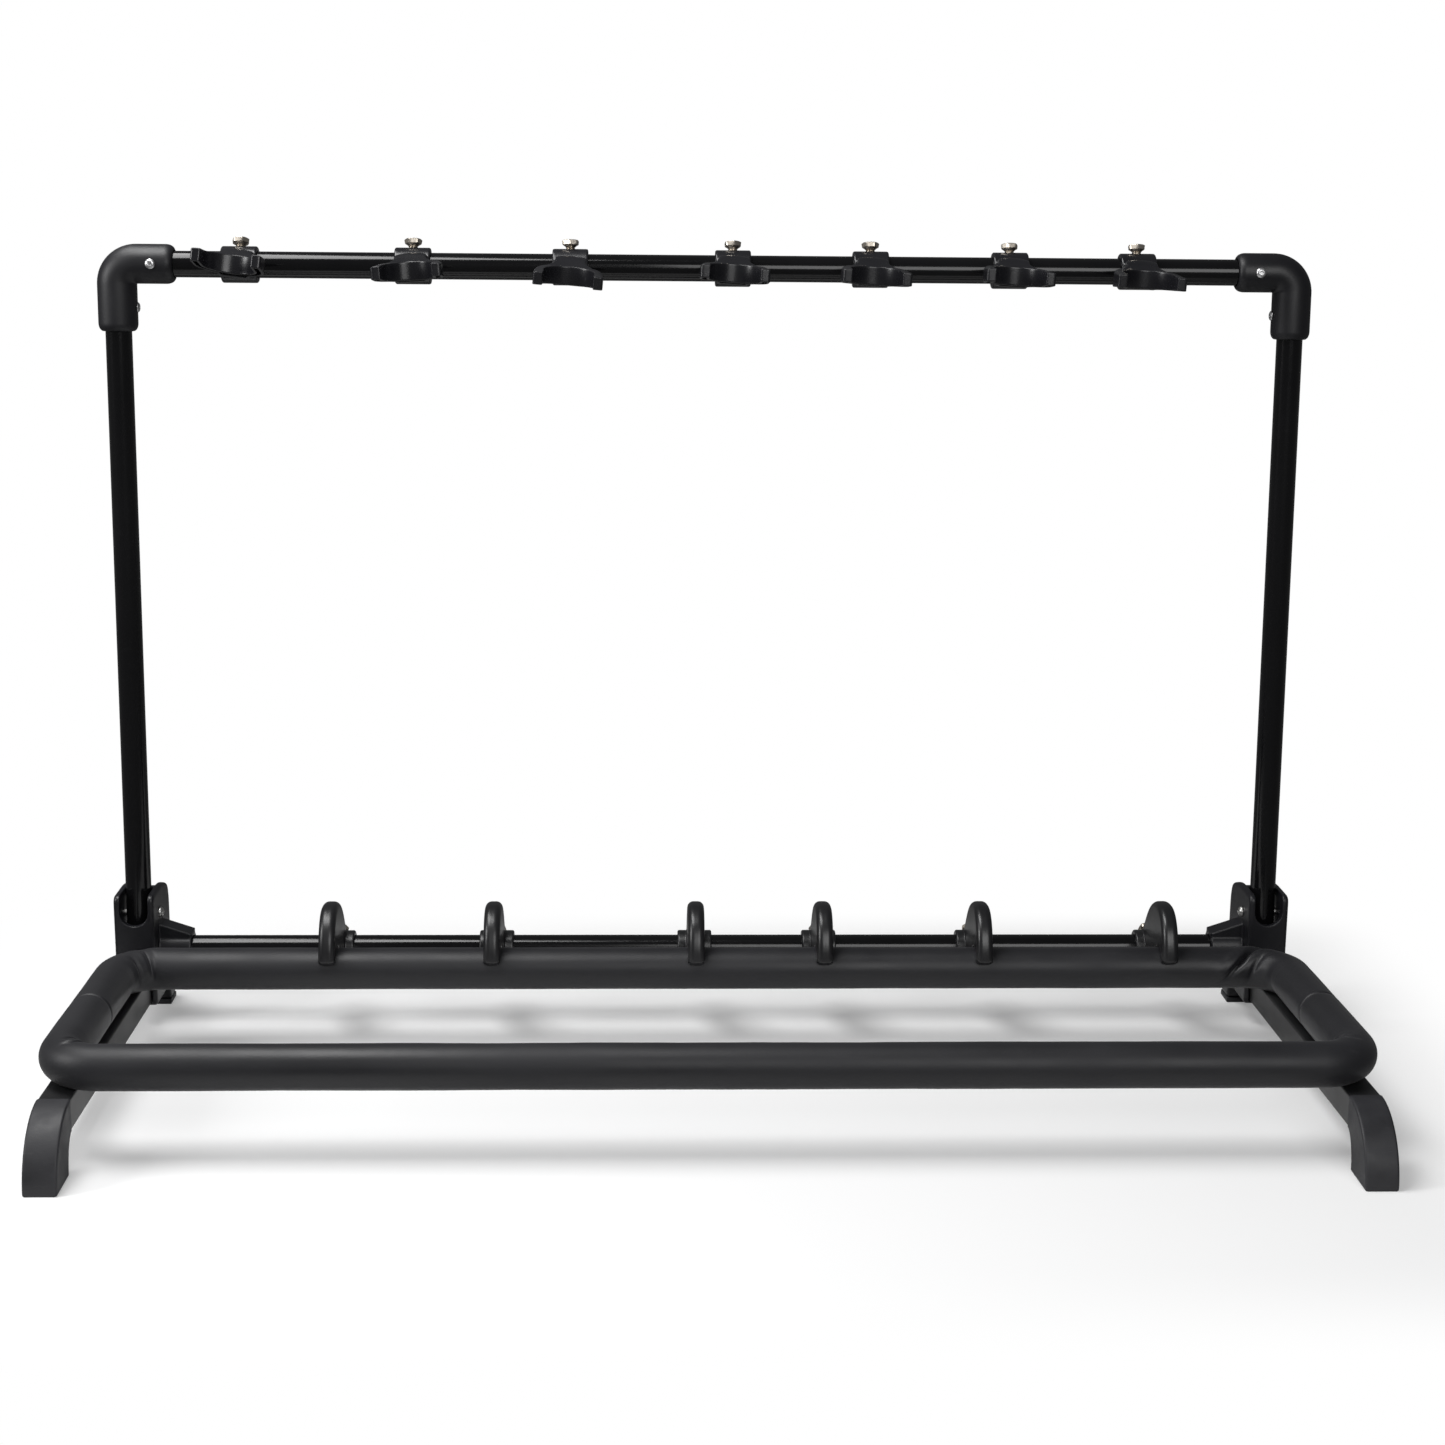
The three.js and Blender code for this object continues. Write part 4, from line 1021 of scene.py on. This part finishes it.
# small parts
def makeSmallParts():
    pad = {"width": 34.0, "length": 24.5, "height": 5.0, "edge": 0.9, "corner": 1.2}
    half, thick = pad["length"] / 2, pad["height"] / 2
    outline = roundedBox(-half, -thick, half, thick, pad["corner"])
    under = -legs["size"] / 2 - fit
    screw = {"behind": 60, "length": 36}  # behind the loop's middle
    top = under + screw["length"]
    head = [(0, under - 2.5), (3.2, under - 2.4), (4.5, under - 1.7), (5, under - 0.5), (5, under),
            (2.5, under), (2.5, top), (0, top)]
    for side, hand in sides:
        low, high = boxMm(f"rear_foot_pad_{hand}")
        place = shift(side * legX, (low[1] + high[1]) / 2, thick) @ acrossX
        rubber = prism(outline, pad["width"], pad["edge"], 4)
        dress(makeObject(f"rear_foot_pad_{hand}_rubber", *rubber, place, 40), f"rear_foot_pad_{hand}")
        seat = legFrame @ shift(side * loop["x"], loop["middle"] + screw["behind"], 0)
        dress(makeObject(f"loop_screw_{hand}_head", *lathe(head, 48), seat, 40), f"loop_screw_{hand}")
    hidden = frame["nodes"]["loop_tube"]
    hidden.data.materials.clear()
    hidden.data.materials.append(finishes[slotOf["loop_tube"]])


# studio
def makeStudio():
    # lift is the share of painted glow that stays on the paper under the rack, lightening its shadows
    studio = {"floor": 40.0, "paper": 0.92, "fadeStart": 0.92, "fadeEnd": 1.3, "across": 0.54, "deep": 0.38,
              "rounding": 0.3, "sky": 0.1, "farGlow": 0.12, "lift": 0.24}
    mesh = bpy.data.meshes.new("paper floor")
    half = studio["floor"] / 2
    corners = [(-half, -half, 0), (half, -half, 0), (half, half, 0), (-half, half, 0)]
    mesh.from_pydata(corners, [], [(0, 1, 2, 3)])
    floor = bpy.data.objects.new("paper_floor", mesh)
    bpy.context.scene.collection.objects.link(floor)

    # shaded paper under the rack with a painted glow of light laid over it that lifts its shadows, fading to an
    # even glow away from it
    paper = bpy.data.materials.new("white paper")
    paper.use_nodes = True
    nodes, link = paper.node_tree.nodes, linker(paper.node_tree)
    shader, output = nodes["Principled BSDF"], nodes["Material Output"]
    shader.inputs["Base Color"].default_value = (studio["paper"],) * 3 + (1,)
    shader.inputs["Roughness"].default_value = 0.9
    shader.inputs["Specular IOR Level"].default_value = 0.1
    glow = addNode(nodes, "Emission")
    coordinates = addNode(nodes, "TexCoord")
    reach = (1 / studio["across"], 1 / studio["deep"], 0)
    spans = addNode(nodes, "VectorMath", {1: reach}, operation="MULTIPLY")
    spread = addNode(nodes, "VectorMath", operation="ABSOLUTE")
    split = addNode(nodes, "SeparateXYZ")
    larger = addNode(nodes, "Math", {2: studio["rounding"]}, operation="SMOOTH_MAX")
    # To Min keeps a painted glow on the paper under the rack, lifting its shadows
    fadeRange = {"From Min": studio["fadeStart"], "From Max": studio["fadeEnd"], "To Min": studio["lift"]}
    fade = addNode(nodes, "MapRange", fadeRange, interpolation_type="SMOOTHSTEP")
    blend = addNode(nodes, "MixShader")
    ray = addNode(nodes, "LightPath")
    strength = addNode(nodes, "MapRange", {"To Min": studio["farGlow"]})
    link(ray, "Is Camera Ray", strength, "Value")
    link(strength, "Result", glow, "Strength")
    link(coordinates, "Object", spans, 0)
    link(spans, "Vector", spread, 0)
    link(spread, "Vector", split, "Vector")
    link(split, "X", larger, 0)
    link(split, "Y", larger, 1)
    link(larger, 0, fade, "Value")
    link(fade, "Result", blend, "Fac")
    link(shader, "BSDF", blend, 1)
    link(glow, "Emission", blend, 2)
    link(blend, "Shader", output, "Surface")
    mesh.materials.append(paper)

    # white to the camera, a dim sky to everything else
    world = bpy.data.worlds.new("soft studio")
    world.use_nodes = True
    bpy.context.scene.world = world
    nodes, link = world.node_tree.nodes, linker(world.node_tree)
    room = nodes["Background"]
    room.inputs["Color"].default_value = (0.97, 0.985, 1, 1)
    room.inputs["Strength"].default_value = studio["sky"]
    white = addNode(nodes, "Background", {"Color": (1, 1, 1, 1)})
    seen = addNode(nodes, "LightPath")
    pick = addNode(nodes, "MixShader")
    link(seen, "Is Camera Ray", pick, "Fac")
    link(room, "Background", pick, 1)
    link(white, "Background", pick, 2)
    link(pick, "Shader", nodes["World Output"], "Surface")

    lamps = {
        "overhead": {"at": (-0.85, -0.05, 2.25), "to": (-0.75, 0.0, 0.0), "size": (1.5, 0.9), "power": 46},
        "frontRight": {"at": (0.65, -2.2, 1.4), "to": (0.35, 0.0, 0.4), "size": (1.3, 1.2), "power": 22},
        "left": {"at": (-2.1, -0.6, 1.2), "to": (-0.4, 0.0, 0.5), "size": (0.6, 0.9), "power": 22},
    }
    for name, lamp in lamps.items():
        data = bpy.data.lights.new(name, "AREA")
        data.shape = "RECTANGLE"
        data.size, data.size_y = lamp["size"]
        data.energy = lamp["power"]
        obj = bpy.data.objects.new(name, data)
        obj.location = lamp["at"]
        aim = Vector(lamp["to"]) - Vector(lamp["at"])
        obj.rotation_euler = aim.to_track_quat("-Z", "Y").to_euler()
        obj.visible_camera = False
        bpy.context.scene.collection.objects.link(obj)


def makeCamera():
    view = {"at": (-0.0573, -1.9333, 0.7396), "yaw": 1.951, "pitch": -12.591, "roll": 0.542, "lens": 61.457,
            "sensor": 36}
    camera = bpy.data.cameras.new("camera")
    camera.lens, camera.sensor_width = view["lens"], view["sensor"]
    obj = bpy.data.objects.new("camera", camera)
    yaw, pitch, roll = (math.radians(view[key]) for key in ("yaw", "pitch", "roll"))
    turned = Matrix.Rotation(-yaw, 4, "Z") @ Matrix.Rotation(math.pi / 2 + pitch, 4, "X")
    obj.matrix_world = Matrix.Translation(view["at"]) @ turned @ Matrix.Rotation(roll, 4, "Z")
    bpy.context.scene.collection.objects.link(obj)
    bpy.context.scene.camera = obj
    bpy.context.scene.view_settings.view_transform = "Standard"


makeStudio()
makeCamera()
print("studio and camera set")
makeTubes()
makeLegs()
makeFrontFeet()
print("tubes, legs and feet made")
makeBrackets()
makeElbows()
makeHingePins()
print("brackets and elbows made")
makeYokes()
makeDividers()
makeBolts()
print("yokes, dividers and bolts made")
makeFoam()
makeSmallParts()
print("foam made")
